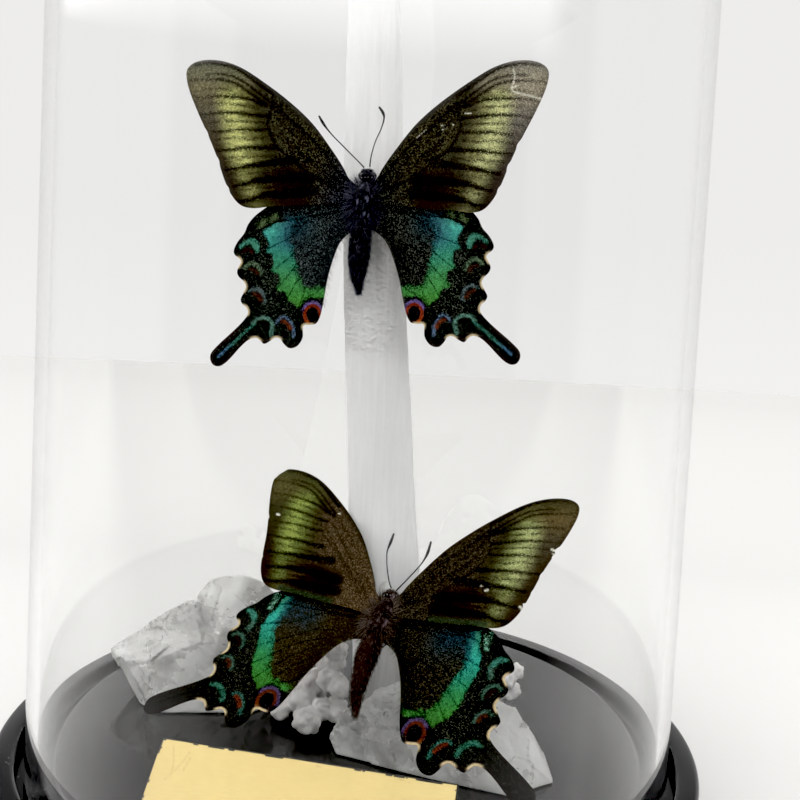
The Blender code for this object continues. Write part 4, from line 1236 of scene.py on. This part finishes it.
class Scales:
    """Ground colour, scale colour and how thickly the scales lie, at each point of a wing."""

    def __init__(self, points, look):
        ground, tint, cover = look
        count = len(points)
        self.ground = np.broadcast_to(linear(ground), (count, 3))
        self.tint = np.broadcast_to(linear(tint), (count, 3))
        self.cover = np.full(count, float(cover))

    def zone(self, share, look):
        ground, tint, cover = look
        self.ground = mix(self.ground, linear(ground), share)
        self.tint = mix(self.tint, linear(tint), share)
        self.cover = self.cover + (cover - self.cover) * share

    def mark(self, share, colour, thick=0.9, under=0.4):
        """A bright mark: its scales hide the others, on a ground of their own colour."""
        colour = np.asarray(colour, float)
        self.tint = self.tint + (colour - self.tint) * smooth_step(0.0, 0.2, share)[:, None]
        self.cover = self.cover + (thick - self.cover) * share
        self.ground = self.ground + (under * colour - self.ground) * (0.85 * share)[:, None]

    def blend(self, share, colour, thick, under):
        """A broad zone that runs softly into its neighbours."""
        self.tint = mix(self.tint, colour, share)
        self.cover = self.cover + (thick - self.cover) * share
        self.ground = mix(self.ground, under * colour, share)

    def darken(self, share, colour, strength=1.0):
        self.cover = self.cover * (1 - strength * share)
        self.ground = mix(self.ground, linear(colour), strength * share)

    def shown(self, gain):
        return np.minimum(self.ground * gain, 0.95), np.minimum(self.tint * gain, 0.95), self.cover


def forewing_pattern(points, butterfly, key):
    """A forewing's upper side."""
    u, v = points[:, 0], points[:, 1]
    look = FOREWING_LOOKS[butterfly]
    side = key.split("_")[1]
    scales = Scales(points, look[f"cell {side}"])
    lines = blobs(np.column_stack([0.66 * u - 0.75 * v, (0.75 * u + 0.66 * v) / 14]), (0.8, 1.0), 25)
    scales.cover = scales.cover * (1 + 0.18 * lines)
    scales.zone(1.0 - smooth_step(3.0, 17.0, u + 0.3 * v), look[f"root {side}"])
    fine = blobs(np.column_stack([(v + 0.25 * u) / 0.55, u / 9.0]), 1.0, 26)
    brand = smooth_step(12.0, 17.0, u) * (1 - smooth_step(26.0, 30.0, u))
    brand = brand * (1 - smooth_step(5.0, 9.0, v + 0.1 * fine))
    scales.zone(brand, look["brand"])
    threads = 0.22 * brand * smooth_step(0.45, 0.8, fine) * smooth_step(17.0, 24.0, u)
    scales.mark(threads, linear((88, 78, 44)), 0.5)

    band = np.array(FOREWING_BAND)
    start, peak, end, strength = (np.interp(v, band[:, 0], band[:, k]) for k in (1, 2, 3, 4))
    start, peak, end = start + look["inset"], peak + 0.25 * look["inset"], end + look["outset"]
    ragged = 0.5 * rough(points, 1.6, 21, 3)
    glow = smooth_step(start - 1.0, peak + 0.8, u + 0.6 * ragged)
    within = 1.0 - smooth_step(end - 3.0, end + 2.6, u + 0.8 * ragged)
    colours = list(zip((0.0, 0.3, 0.65, 1.0), look[f"glow {side}"]))
    bright = ramp(strength * glow * (1 + 0.2 * blobs(points, (2.6, 0.6), 27)), colours)
    reach = smooth_step(start - 3.0, start + 3.0, u)
    scales.blend(reach, bright, 0.84, 0.42)
    beyond = ramp(v + 1.5 * ragged, look[f"edge {side}"])
    scales.blend(1 - within, beyond, 0.62, 0.55)
    high = smooth_step(25.5, 30.0, v) * smooth_step(27.0, 32.0, u)
    scales.blend(0.65 * high, beyond, 0.7, 0.55)

    edge = to_line(points, catmull_rom(FOREWING, 4))[0]
    margin = (1 - smooth_step(0.3, 2.4, edge)) * (1 - within) * smooth_step(37.0, 41.0, u + 0.4 * (10 - v))
    scales.darken(margin, (60, 55, 48) if butterfly == "upper" else (33, 24, 13), 0.6)
    costa = smooth_step(-0.2, 0.9, v - np.interp(u, *np.array(FOREWING_COSTA).T))
    scales.zone(costa, look["costa"])
    scales.zone(costa * smooth_step(30.0, 40.0, u), look["costa tip"])
    inner_side = 1 - smooth_step(38.0, 44.0, u)
    heavy = strongest(points, [(1.35 * a, b, line) for a, b, line in FOREWING_VEINS[3:]], 0.55)
    heavy = np.maximum(heavy, look[f"cell rim {side}"] * strongest(points, FOREWING_VEINS[:3], 0.5))
    light = strongest(points, FOREWING_FOLDS, 0.5)
    scales.darken(np.maximum(heavy, 0.75 * light), (14, 10, 5), 0.64 + 0.32 * inner_side)
    if FOREWING_TORNUS[butterfly]:
        scales.mark(stroke(points, *FOREWING_TORNUS[butterfly], 0.6), linear((46, 58, 38)), 0.3, 0.4)
    for wide_start, wide_end, line in FOREWING_WEAR.get(f"{butterfly}_{key}", []):
        scales.mark(stroke(points, wide_start, wide_end, line, 0.16), linear((178, 176, 162)), 1.0, 0.9)
    return scales.shown(SHOWN[butterfly])


def band_share(points, inner, outer):
    """How far each point lies in the band, and how deep it lies behind the band's inner and outer edges."""
    inner, outer = catmull_rom(inner, 6), catmull_rom(outer, 6)
    within = inside(points, np.concatenate([inner, outer]))
    edge_in, _ = to_line(points, inner)
    edge_out, _ = to_line(points, outer)
    ragged = rough(points, 1.1, 31, 3)
    deep_in = np.where(within | (edge_out < edge_in), edge_in, -edge_in) + 0.9 * ragged
    deep_out = np.where(within | (edge_in < edge_out), edge_out, -edge_out) + 0.5 * ragged
    share = smooth_step(-1.5, 1.3, deep_in) * smooth_step(-0.35, 0.45, deep_out)
    return share, deep_in, deep_out


def hindwing_pattern(points, butterfly, key):
    """A hindwing's upper side, and how far each point is from a notch in its margin."""
    u, v = points[:, 0], points[:, 1]
    disc, outer_part = HINDWING_LOOKS[f"{butterfly} {key.split('_')[1]}"]
    share, deep_in, deep_out = band_share(points, *HINDWING_BANDS[butterfly])
    edge = to_line(points, catmull_rom(HINDWING, 4, closed=True))[0]
    scales = Scales(points, disc)
    sheen = smooth_step(-17.0, -8.0, v) * smooth_step(10.0, 18.0, u) * (1 - smooth_step(-6.0, -3.5, v))
    scales.zone(sheen, (disc[0], HINDWING_SHEEN[butterfly], 0.36))
    scales.zone(1 - smooth_step(-0.4, 0.6, deep_out), outer_part)
    scales.cover = scales.cover * (0.25 + 0.75 * smooth_step(1.0, 6.0, edge))
    scales.cover = scales.cover * (1 + 0.35 * rough(points, 2.2, 33, 2))
    colour = ramp(v, BAND_COLOURS[butterfly])
    blue = (1 - smooth_step(0.0, BAND_BLUE_REACH[butterfly], deep_in)) * smooth_step(-17.0, -11.0, v)
    colour = mix(colour, linear(BAND_INNER_BLUE[butterfly]), 0.85 * blue)
    colour = colour * (1 + 0.2 * blobs(points, (0.7, 2.2), 34) + 0.12 * blobs(points, 0.5, 35))[:, None]
    scales.mark(share, colour, 0.86, 0.4)
    for tone, wide_start, wide_end, line in HINDWING_COSTAL[butterfly]:
        patch = stroke(points, wide_start, wide_end, line, 0.7)
        bars = smooth_step(-0.2, 0.4, np.sin(2.3 * (u + 0.3 * v)))
        scales.mark(patch * (0.25 + 0.75 * bars), linear(tone), 0.75, 0.3)
    scales.darken(strongest(points, HINDWING_VEINS, 0.16), (7, 9, 7), 0.8)
    for tone, wide_start, wide_end, line in HINDWING_CRESCENTS[butterfly]:
        mark = stroke(points, wide_start, wide_end, line, 0.45) * (0.8 + 0.5 * rough(points, 0.9, 36, 2))
        scales.mark(np.clip(mark, 0, 1), linear(tone), 0.72, 0.3)
    near, far = (np.broadcast_to(linear(tone), (len(u), 3)) for tone in TAIL_TONES[butterfly])
    streak = stroke(points, *TAIL_STREAK, 0.3) * (0.7 + 0.7 * rough(points, 0.7, 37, 2)).clip(0, 1)
    scales.mark(streak, mix(near, far, smooth_step(35.0, 39.0, u)), 0.7, 0.25)
    rim = (1 - smooth_step(0.2, 1.4, edge)) * smooth_step(-34.0, -39.0, v - 0.3 * (u - 30))
    scales.darken(rim, TAIL_RIMS[butterfly], 0.8)
    eyespot(points, scales, butterfly)
    notch = np.min([np.hypot(u - a, v - b) for a, b in MARGIN_NOTCHES], axis=0)
    return *scales.shown(SHOWN[butterfly]), notch


def eyespot(points, scales, butterfly):
    """The ringed spot by the inner corner of the hindwing."""
    middle, ring_tone, low_tone, top_tone = EYESPOTS[butterfly]
    u, v = (points - middle).T
    radius = np.hypot(u / EYESPOT_RADII[0], v / EYESPOT_RADII[1]) * 1.9
    around = rough(points, 1.0, 38, 2)
    clear = 1 - smooth_step(3.5, 4.6, radius + 0.5 * smooth_step(0.0, -2.0, v))
    scales.darken(clear, (9, 8, 12))
    lower_left = smooth_step(0.2, 1.6, -(v + 0.35 * u)) * (1 - smooth_step(0.4, 1.4, u))
    ring = smooth_step(1.7, 2.1, radius) * (1 - smooth_step(2.6, 3.0, radius)) * (1 - 0.9 * lower_left)
    warm = mix(np.broadcast_to(linear(ring_tone), (len(u), 3)), linear(low_tone), smooth_step(-1.2, -2.6, v))
    above = smooth_step(2.6, 2.9, radius) * (1 - smooth_step(3.1, 3.7, radius))
    above = above * smooth_step(-0.2, 1.2, v - 0.25 * u)
    scales.mark(ring * (0.88 + 0.3 * around).clip(0, 1), warm, 0.85, 0.4)
    scales.mark(above * (0.85 + 0.3 * around).clip(0, 1), linear(top_tone), 0.8, 0.35)
    scales.darken(1 - smooth_step(1.6, 1.95, radius), (5, 5, 12))


def underside(points, is_forewing, butterfly):
    """The side that faces the column."""
    u, v = points[:, 0], points[:, 1]
    if is_forewing:
        band = np.array(FOREWING_BAND)
        start, end = np.interp(v, band[:, 0], band[:, 1]) + 1.0, np.interp(v, band[:, 0], band[:, 3]) + 1.5
        ray = smooth_step(start, start + 6.0, u) * (1 - smooth_step(end, end + 2.5, u))
        scales = Scales(points, ((34, 27, 22), (148, 138, 112), 0.15))
        scales.cover = scales.cover + 0.6 * ray
        scales.darken(strongest(points, FOREWING_VEINS, 0.3), (30, 24, 19), 0.8)
        return scales.ground, scales.tint, scales.cover
    scales = Scales(points, ((30, 24, 21), (110, 102, 78), 0.3))
    scales.cover = scales.cover * (1 - smooth_step(17.0, 24.0, u - 0.4 * v - 9))
    for tone, wide_start, wide_end, line in HINDWING_CRESCENTS[butterfly]:
        mark = stroke(points, wide_start + 0.35, wide_end + 0.3, line, 0.3)
        scales.mark(mark, linear((168, 70, 44) if tone[0] > tone[1] else (84, 74, 108)), 0.85)
    scales.darken(strongest(points, HINDWING_VEINS, 0.2), (26, 20, 18), 0.6)
    eyespot(points, scales, butterfly)
    return scales.ground, scales.tint, scales.cover


def wing_relief(points, edge, is_forewing, seed):
    """Height of the wing's middle surface and its half thickness, in millimetres."""
    u, v = points[:, 0], points[:, 1]
    veins = FOREWING_VEINS if is_forewing else HINDWING_VEINS
    ridge = strongest(points, [(0.1, 0.08, line) for _, _, line in veins], 0.28)
    wave = 0.12 * blobs(points, 13.0, seed) + 0.05 * blobs(points, 5.0, seed + 1)
    if is_forewing:
        wave = wave - 0.07 * strongest(points, [(0.2, 0.2, line) for _, _, line in FOREWING_FOLDS], 0.5)
        costa = np.interp(u, *np.array(FOREWING_FRONT).T)
        ridge = np.maximum(ridge, 1 - smooth_step(0.15, 0.75, np.abs(v - costa + 0.35)))
    thick = WING_EDGE_THICKNESS + (WING_THICKNESS - WING_EDGE_THICKNESS) * smooth_step(0.0, 0.7, edge)
    return wave * smooth_step(0.0, 3.0, u - 3.6), thick / 2 + 0.09 * ridge * smooth_step(0.0, 0.6, edge)


def make_wing(butterfly, key, shape, material, sheet, seed):
    """One wing: upper and under side with their markings, veins and pleats, closed round the edge."""
    side = 1 if key.endswith("right") else -1
    is_forewing = key.startswith("forewing")
    points, faces, rim, edge = sheet
    wave, half = wing_relief(points, edge, is_forewing, seed)
    if is_forewing:
        ground, tint, cover = forewing_pattern(points, butterfly, key)
    else:
        ground, tint, cover, notch = hindwing_pattern(points, butterfly, key)
        pale = (1 - smooth_step(1.3, 2.2, notch)) * (1 - smooth_step(0.3, 0.6, edge))
        ground = mix(ground, linear((236, 214, 168)), 0.8 * pale)
        cover = cover * (1 - pale)
    under = underside(points, is_forewing, butterfly)
    flat = np.column_stack([side * points[:, 0], points[:, 1]]) * shape["size"]
    top = np.column_stack([flat, wave + half])
    bottom = np.column_stack([flat, wave - half])
    count = len(points)
    upper_faces = [tuple(face) if side > 0 else tuple(reversed(face)) for face in faces]
    lower_faces = [tuple(count + i for i in reversed(face)) for face in upper_faces]
    walls = [((i + 1) % rim, i, count + i, count + (i + 1) % rim) for i in range(rim)]
    name = f"{butterfly}_{key}"
    mesh = bpy.data.meshes.new(name)
    points = [top, bottom]
    grounds, covers = [ground, under[0]], [cover, under[2]]
    hair_faces = []
    if not is_forewing:
        fringe = margin_hairs(side, shape["size"], seed)
        points.append(np.concatenate(fringe.points))
        grounds.append(np.concatenate(fringe.colours))
        covers.append(np.zeros(fringe.count))
        hair_faces = [tuple(2 * count + i for i in face) for face in fringe.faces]
    faces = upper_faces + lower_faces + walls + hair_faces
    mesh.from_pydata((np.concatenate(points) * MM).tolist(), [], faces)
    mesh.update()
    paint(mesh, "ground", np.concatenate(grounds))
    tints = np.concatenate([tint, under[1]])
    paint(mesh, "tint", np.concatenate([tints, np.tile(tints[:1], (sum(map(len, grounds)) - len(tints), 1))]))
    measure(mesh, "cover", np.concatenate(covers))
    fix = bmesh.new()
    fix.from_mesh(mesh)
    bmesh.ops.recalc_face_normals(fix, faces=fix.faces)
    fix.to_mesh(mesh)
    fix.free()
    finished(f"{name}_scales", mesh, material, [name], sharp=60.0, place=wing_place(shape, key))


def margin_hairs(side, size, seed):
    """Fine silky hairs along the hindwing's inner margin."""
    chance = random.Random(seed)
    margin = catmull_rom(HINDWING[-6:], 12)
    parts = Parts()
    for _ in range(MARGIN_HAIRS):
        u, v = margin[chance.randrange(len(margin))] + (chance.uniform(0.0, 0.8), chance.uniform(-0.3, 0.3))
        root = np.array([side * u, v, chance.uniform(-0.1, 0.1)]) * size
        out, down, lift = chance.uniform(0.3, 0.75), chance.uniform(0.5, 1.0), chance.uniform(-0.2, 0.2)
        direction = np.array([-side * out, -down, lift])
        direction /= np.linalg.norm(direction)
        colour = linear(chance.choice([(40, 36, 32), (110, 106, 100), (176, 172, 164)]))
        hair(parts, root, direction, chance.uniform(1.0, 2.8), 0.022, colour, np.array([0.0, -0.3, 0.0]))
    return parts


def body_curve(shape):
    """Smooth centre line and radii of a body, head first: rows of (x, z, radius)."""
    return catmull_rom(shape["body"], 9)


def hair(parts, root, direction, length, radius, colour, bend):
    """One tapered hair, curved towards bend."""
    tip = root + direction * length + bend * length * 0.35
    middle = root + direction * length * 0.5 + bend * length * 0.08
    along = (tip - root) / np.linalg.norm(tip - root)
    side = np.cross(along, (0.31, 0.22, 0.93))
    side /= np.linalg.norm(side)
    other = np.cross(along, side)
    ring = [math.cos(a) * side + math.sin(a) * other for a in (0.0, math.tau / 3, 2 * math.tau / 3)]
    points = [root + radius * r for r in ring] + [middle + 0.65 * radius * r for r in ring] + [tip]
    faces = [(0, 1, 4, 3), (1, 2, 5, 4), (2, 0, 3, 5), (3, 4, 6), (4, 5, 6), (5, 3, 6), (0, 2, 1)]
    parts.add(points, faces, colour)


def make_body(butterfly, shape, materials, seed):
    """Head, thorax, ringed abdomen, eyes, pale dots on the crown, legs and fur in one piece."""
    chance = random.Random(seed)
    curve = body_curve(shape)
    sides = BODY_SIDES
    angle = np.arange(sides) * math.tau / sides
    x, z, radius = curve[:, 0], curve[:, 1], curve[:, 2].copy()
    waist = shape["body"][WAIST_STATION][1]
    rings = 0.5 + 0.5 * np.cos((z - waist) * math.tau / 2.15)
    radius = radius * (1 - 0.07 * rings**3 * smooth_step(0.0, 1.5, waist - z))
    points = np.stack([x[:, None] + radius[:, None] * np.cos(angle), radius[:, None] * np.sin(angle),
                       np.repeat(z[:, None], sides, axis=1)], -1).reshape(-1, 3)
    bumpy = 0.12 * rough(points, 0.9, seed, 3) + 0.28 * blobs(points, 3.4, seed + 3)
    middle = np.stack([np.repeat(x, sides), np.zeros(len(x) * sides), np.repeat(z, sides)], -1)
    out = points - middle
    points = points + out / np.maximum(np.linalg.norm(out, axis=1), 1e-6)[:, None] * bumpy[:, None]
    points = np.concatenate([points, [[x[0], 0, z[0] + 0.25], [x[-1], 0, z[-1] - 0.2]]])
    faces = [tuple(reversed(face)) for face in skin(len(x), sides)]
    thorax, abdomen = (linear(tone) for tone in BODY_TONES[butterfly])
    tone = mix(np.broadcast_to(thorax, (len(points), 3)), abdomen, smooth_step(-1, 2, waist - points[:, 2]))
    # Painted highlights: paler streaks on the thorax's back, above the waist.
    light = smooth_step(0.25, 0.6, rough(points, (0.9, 0.9, 1.8), seed + 5, 2))
    light = light * smooth_step(0.0, -1.5, points[:, 1])
    light = 0.7 * light * smooth_step(waist - 1.0, waist + 1.5, points[:, 2])
    tone = mix(tone, linear(THORAX_HIGHLIGHTS[butterfly]), light)
    parts = Parts()
    parts.add(points, faces, tone)
    add_eyes(parts, shape)
    add_legs(parts, shape)
    add_head_dots(parts, shape)
    add_fur(parts, shape, chance, butterfly)
    add_root_hairs(parts, shape, chance, butterfly)
    mesh = parts.mesh(f"{butterfly}_body")
    mesh.transform(Matrix.Scale(MM, 4))
    mesh.update()
    finished(f"{butterfly}_furry_body", mesh, materials, [f"{butterfly}_body"], sharp=50.0,
             place=butterfly_place(shape))


def add_eyes(parts, shape):
    x, z, _ = shape["body"][EYE_STATION]
    unit, faces = icosphere(4, EYE_RADIUS)
    unit = unit * (1 + 0.015 * facets(unit, 0.22, 51)[:, None])
    for side in (-1, 1):
        centre = np.array([x + side * EYE_SPREAD, -0.3, z + 0.3])
        parts.add(unit + centre, faces, linear((26, 20, 18)), 1)


def add_legs(parts, shape):
    for side in (-1, 1):
        for start in LEG_STATIONS:
            middle = next(x for x, z, _ in shape["body"] if z < start)
            route = catmull_rom([(middle + side * x, y, z + start) for x, y, z in LEG_ROUTE], 6)
            radii = LEG_RADIUS * (1.0 - 0.35 * np.linspace(0, 1, len(route)))
            radii = radii * (1 + 0.15 * np.cos(np.arange(len(route)) * 1.1))
            points, faces = closed_tube(route, radii, 10)
            parts.add(points, faces, linear((22, 19, 20)))


def hair_tone(chance, butterfly, power):
    """A hair's colour: the higher the power, the oftener the first ones."""
    tones = FUR_TONES[butterfly]
    return linear(tones[min(int(chance.random() ** power * len(tones)), len(tones) - 1)])


def add_fur(parts, shape, chance, butterfly):
    """Tangled hairs over the head and thorax, and a short nap on the abdomen."""
    curve = body_curve(shape)
    waist = shape["body"][WAIST_STATION][1]
    for _ in range(FUR_HAIRS):
        x, z, radius = curve[chance.randrange(len(curve))]
        turn = chance.uniform(0, math.tau)
        normal = np.array([math.cos(turn), math.sin(turn), 0.0])
        root = np.array([x, 0, z]) + normal * radius * 0.97
        if z > 3.6:
            lift, fall, length = 1.0, -0.5, chance.uniform(0.5, 1.1)
        elif z > waist:
            lift, fall, length = chance.uniform(0.2, 0.9), 0.8, chance.uniform(0.7, 1.6)
        else:
            lift, fall, length = chance.uniform(0.25, 0.8), 0.8, chance.uniform(0.4, 1.2)
        direction = normal * lift + np.array([chance.uniform(-0.45, 0.45), chance.uniform(-0.3, 0.3), -fall])
        direction /= np.linalg.norm(direction)
        colour = hair_tone(chance, butterfly, 1.6)
        hair(parts, root, direction, length, chance.uniform(0.025, 0.045), colour, np.array([0, 0, -0.3]))


def add_root_hairs(parts, shape, chance, butterfly):
    """Long fine hairs that fan out from the thorax over the bases of the wings."""
    for _ in range(ROOT_HAIRS):
        side = chance.choice((-1, 1))
        z = chance.uniform(-8.5, 3.6)
        x, _, radius = min(shape["body"], key=lambda station: abs(station[1] - z))
        root = np.array([x + side * radius * chance.uniform(0.8, 1.3), -chance.uniform(0.5, 1.4), z])
        fan = math.radians(26 + 13 * z + chance.uniform(-24, 24))
        direction = np.array([side * math.cos(fan), -chance.uniform(0.02, 0.2), math.sin(fan)])
        colour = hair_tone(chance, butterfly, 1.2)
        hair(parts, root, direction, chance.uniform(1.2, 4.0), chance.uniform(0.02, 0.04), colour,
             np.array([0, 0.12, -0.15]))


def add_head_dots(parts, shape):
    """Two pairs of tiny pale dots on the crown."""
    x, z, radius = shape["body"][EYE_STATION]
    points, faces = closed_tube([(0, 0, -0.08), (0, 0, 0.0), (0, 0, 0.08)], [0.09, 0.13, 0.09], 8)
    for across in (-1.45, -0.45, 0.45, 1.45):
        depth = math.sqrt(max((radius + 0.35) ** 2 - across**2, 0.3))
        parts.add(points + (x + across, -depth, z - 0.5), faces, linear((190, 190, 196)))


def make_antenna(butterfly, key, shape, material):
    """A fine jointed feeler that thickens into a club."""
    route = catmull_rom(shape[key], 14)
    radii = catmull_rom(np.column_stack([ANTENNA_RADII, ANTENNA_RADII]), 14)[:, 0]
    joints = 1 + 0.1 * np.cos(np.arange(len(route)) * math.pi)
    points, faces = closed_tube(route, radii * joints, 12)
    parts = Parts()
    parts.add(points, faces, linear((22, 20, 20)))
    mesh = parts.mesh(f"{butterfly}_{key}")
    mesh.transform(Matrix.Scale(MM, 4))
    finished(f"{butterfly}_{key}_club", mesh, material, [f"{butterfly}_{key}"],
             place=butterfly_place(shape))


def make_butterfly(butterfly, shape, materials, sheets, seed):
    for index, key in enumerate(shape["wings"]):
        kind = key.split("_")[0]
        sheet = sheets.get(kind) or wing_sheet(rooted(kind), FOREWING_NICKS[f"{butterfly}_{key}"])
        make_wing(butterfly, key, shape, materials[kind], sheet, seed + 10 * index)
    make_body(butterfly, shape, [materials["body"], materials["eye"]], seed + 50)
    for key in ("antenna_left", "antenna_right"):
        make_antenna(butterfly, key, shape, materials["feeler"])
    make_glue(butterfly, shape, materials["glue"])


# ---------------------------------------------------------------- stage, light and camera

CAMERA_AT = (0.0, -236.2, 106.8)  # above the floor
CAMERA_PITCH = 3.04  # downwards
CAMERA_ROLL = 2.93
CAMERA_YAW = 2.24  # to the right
CAMERA_LENS = 36.0  # as wide as its sensor
STAGE_RADIUS = 6000.0
BACKDROP = 0.89  # nearly as bright as the floor, so that the horizon hardly shows
ROOM = 0.36
# Each lit panel of the room: its turn to the right from straight behind in degrees, from and to, its height
# from 0 at the horizon to 1 overhead, from and to, the softness of its rim and how bright it is
PANELS = [
    (-110.0, 110.0, -1.0, 0.405, 0.04, 0.855),
    (-90.0, 90.0, -1.0, 0.0, 0.15, BACKDROP),
    (-400.0, 400.0, 0.72, 2.0, 0.12, 3.0),
    (130.0, 400.0, 0.42, 2.0, 0.08, 3.8),
    (-400.0, -60.0, 0.42, 2.0, 0.08, 3.8),
]
VEIL = 0.035  # the glass's faint reflection of the room, taken off as a photographer would


def make_stage():
    points, faces = turned([(0, 0), (STAGE_RADIUS, 0), (STAGE_RADIUS, -5), (0, -5)], 96)
    mesh = bpy.data.meshes.new("floor")
    mesh.from_pydata(points.tolist(), [], faces)
    mesh.materials.append(floor_painted_light_and_shade())
    floor = bpy.data.objects.new("floor", mesh)
    bpy.context.scene.collection.objects.link(floor)


def make_light():
    """A pale backdrop behind the dome, a dimmer room in front, and wide soft lights overhead and beside."""
    world = bpy.data.worlds.new("studio")
    bpy.context.scene.world = world
    world.use_nodes = True
    tree = world.node_tree
    background = tree.nodes["Background"]
    direction = make_node(tree, "ShaderNodeTexCoord").outputs["Generated"]
    parts = make_node(tree, "ShaderNodeSeparateXYZ", {"Vector": direction})
    turn = maths(tree, "ARCTAN2", parts.outputs["X"], parts.outputs["Y"])
    turn = maths(tree, "MULTIPLY", turn, 180.0 / math.pi)
    light = (ROOM, ROOM, ROOM, 1.0)
    for turn_low, turn_high, low, high, soft, level in PANELS:
        shares = [
            ranged(tree, turn, turn_low - 100 * soft, turn_low),
            ranged(tree, turn, turn_high, turn_high + 100 * soft, 1.0, 0.0),
            ranged(tree, parts.outputs["Z"], low - soft, low),
            ranged(tree, parts.outputs["Z"], high, high + soft, 1.0, 0.0),
        ]
        share = shares[0]
        for other in shares[1:]:
            share = maths(tree, "MULTIPLY", share, other)
        light = mixed(tree, share, light, (level, level * 0.995, level * 0.985, 1.0))
    feed(tree, background, {"Color": light, "Strength": 1.0})


def make_camera():
    pitch, roll, yaw = (math.radians(a) for a in (CAMERA_PITCH, CAMERA_ROLL, CAMERA_YAW))
    forward = Vector((math.sin(yaw) * math.cos(pitch), math.cos(yaw) * math.cos(pitch), -math.sin(pitch)))
    level_right = Vector((math.cos(yaw), -math.sin(yaw), 0.0))
    level_up = level_right.cross(forward)
    right = math.cos(roll) * level_right + math.sin(roll) * level_up
    up = -math.sin(roll) * level_right + math.cos(roll) * level_up
    camera = bpy.data.objects.new("camera", bpy.data.cameras.new("camera"))
    bpy.context.scene.collection.objects.link(camera)
    camera.data.sensor_width = CAMERA_LENS
    camera.data.lens = CAMERA_LENS
    camera.data.clip_start = 0.001
    turn = Matrix((right, up, -forward)).transposed().to_4x4()
    camera.matrix_world = Matrix.Translation(from_floor(CAMERA_AT)) @ turn
    bpy.context.scene.camera = camera
    look = bpy.context.scene.view_settings
    look.view_transform = "Standard"
    look.use_curve_mapping = True
    look.curve_mapping.black_level = (VEIL, VEIL, VEIL)
    look.curve_mapping.update()


# ---------------------------------------------------------------- the scene

MATT_BLACK = matt_black()
make_camera()
make_stage()
make_light()
make_base()
make_dome()
make_column()
quartz_material = quartz()
make_quartz("left", [QUARTZ_LEFT, QUARTZ_LEFT_CREST], 61, quartz_material)
make_quartz("front", [QUARTZ_FRONT, QUARTZ_FRONT_TOE], 91, quartz_material)
stone_material = white_stone()
make_stones("left", STONES_LEFT, 121, stone_material)
make_stones("right", STONES_RIGHT, 151, stone_material)
make_label()

butterfly_materials = {
    "forewing": wing_scales("green scales", 0.2),
    "hindwing": wing_scales("teal scales", 0.19),
    "body": toned("black fur", 0.6, 0.12, 0.3, 0.05),
    "eye": toned("dark eye", 0.15, 0.6, 0.5, 0.0),
    "feeler": toned("feelers", 0.4, 0.4, 0.4, 0.01),
    "glue": clear_glue(),
}
wing_sheets = {"hindwing": wing_sheet(rooted("hindwing"))}
for number, (butterfly, shape) in enumerate(BUTTERFLIES.items()):
    make_butterfly(butterfly, shape, butterfly_materials, wing_sheets, 200 + 100 * number)
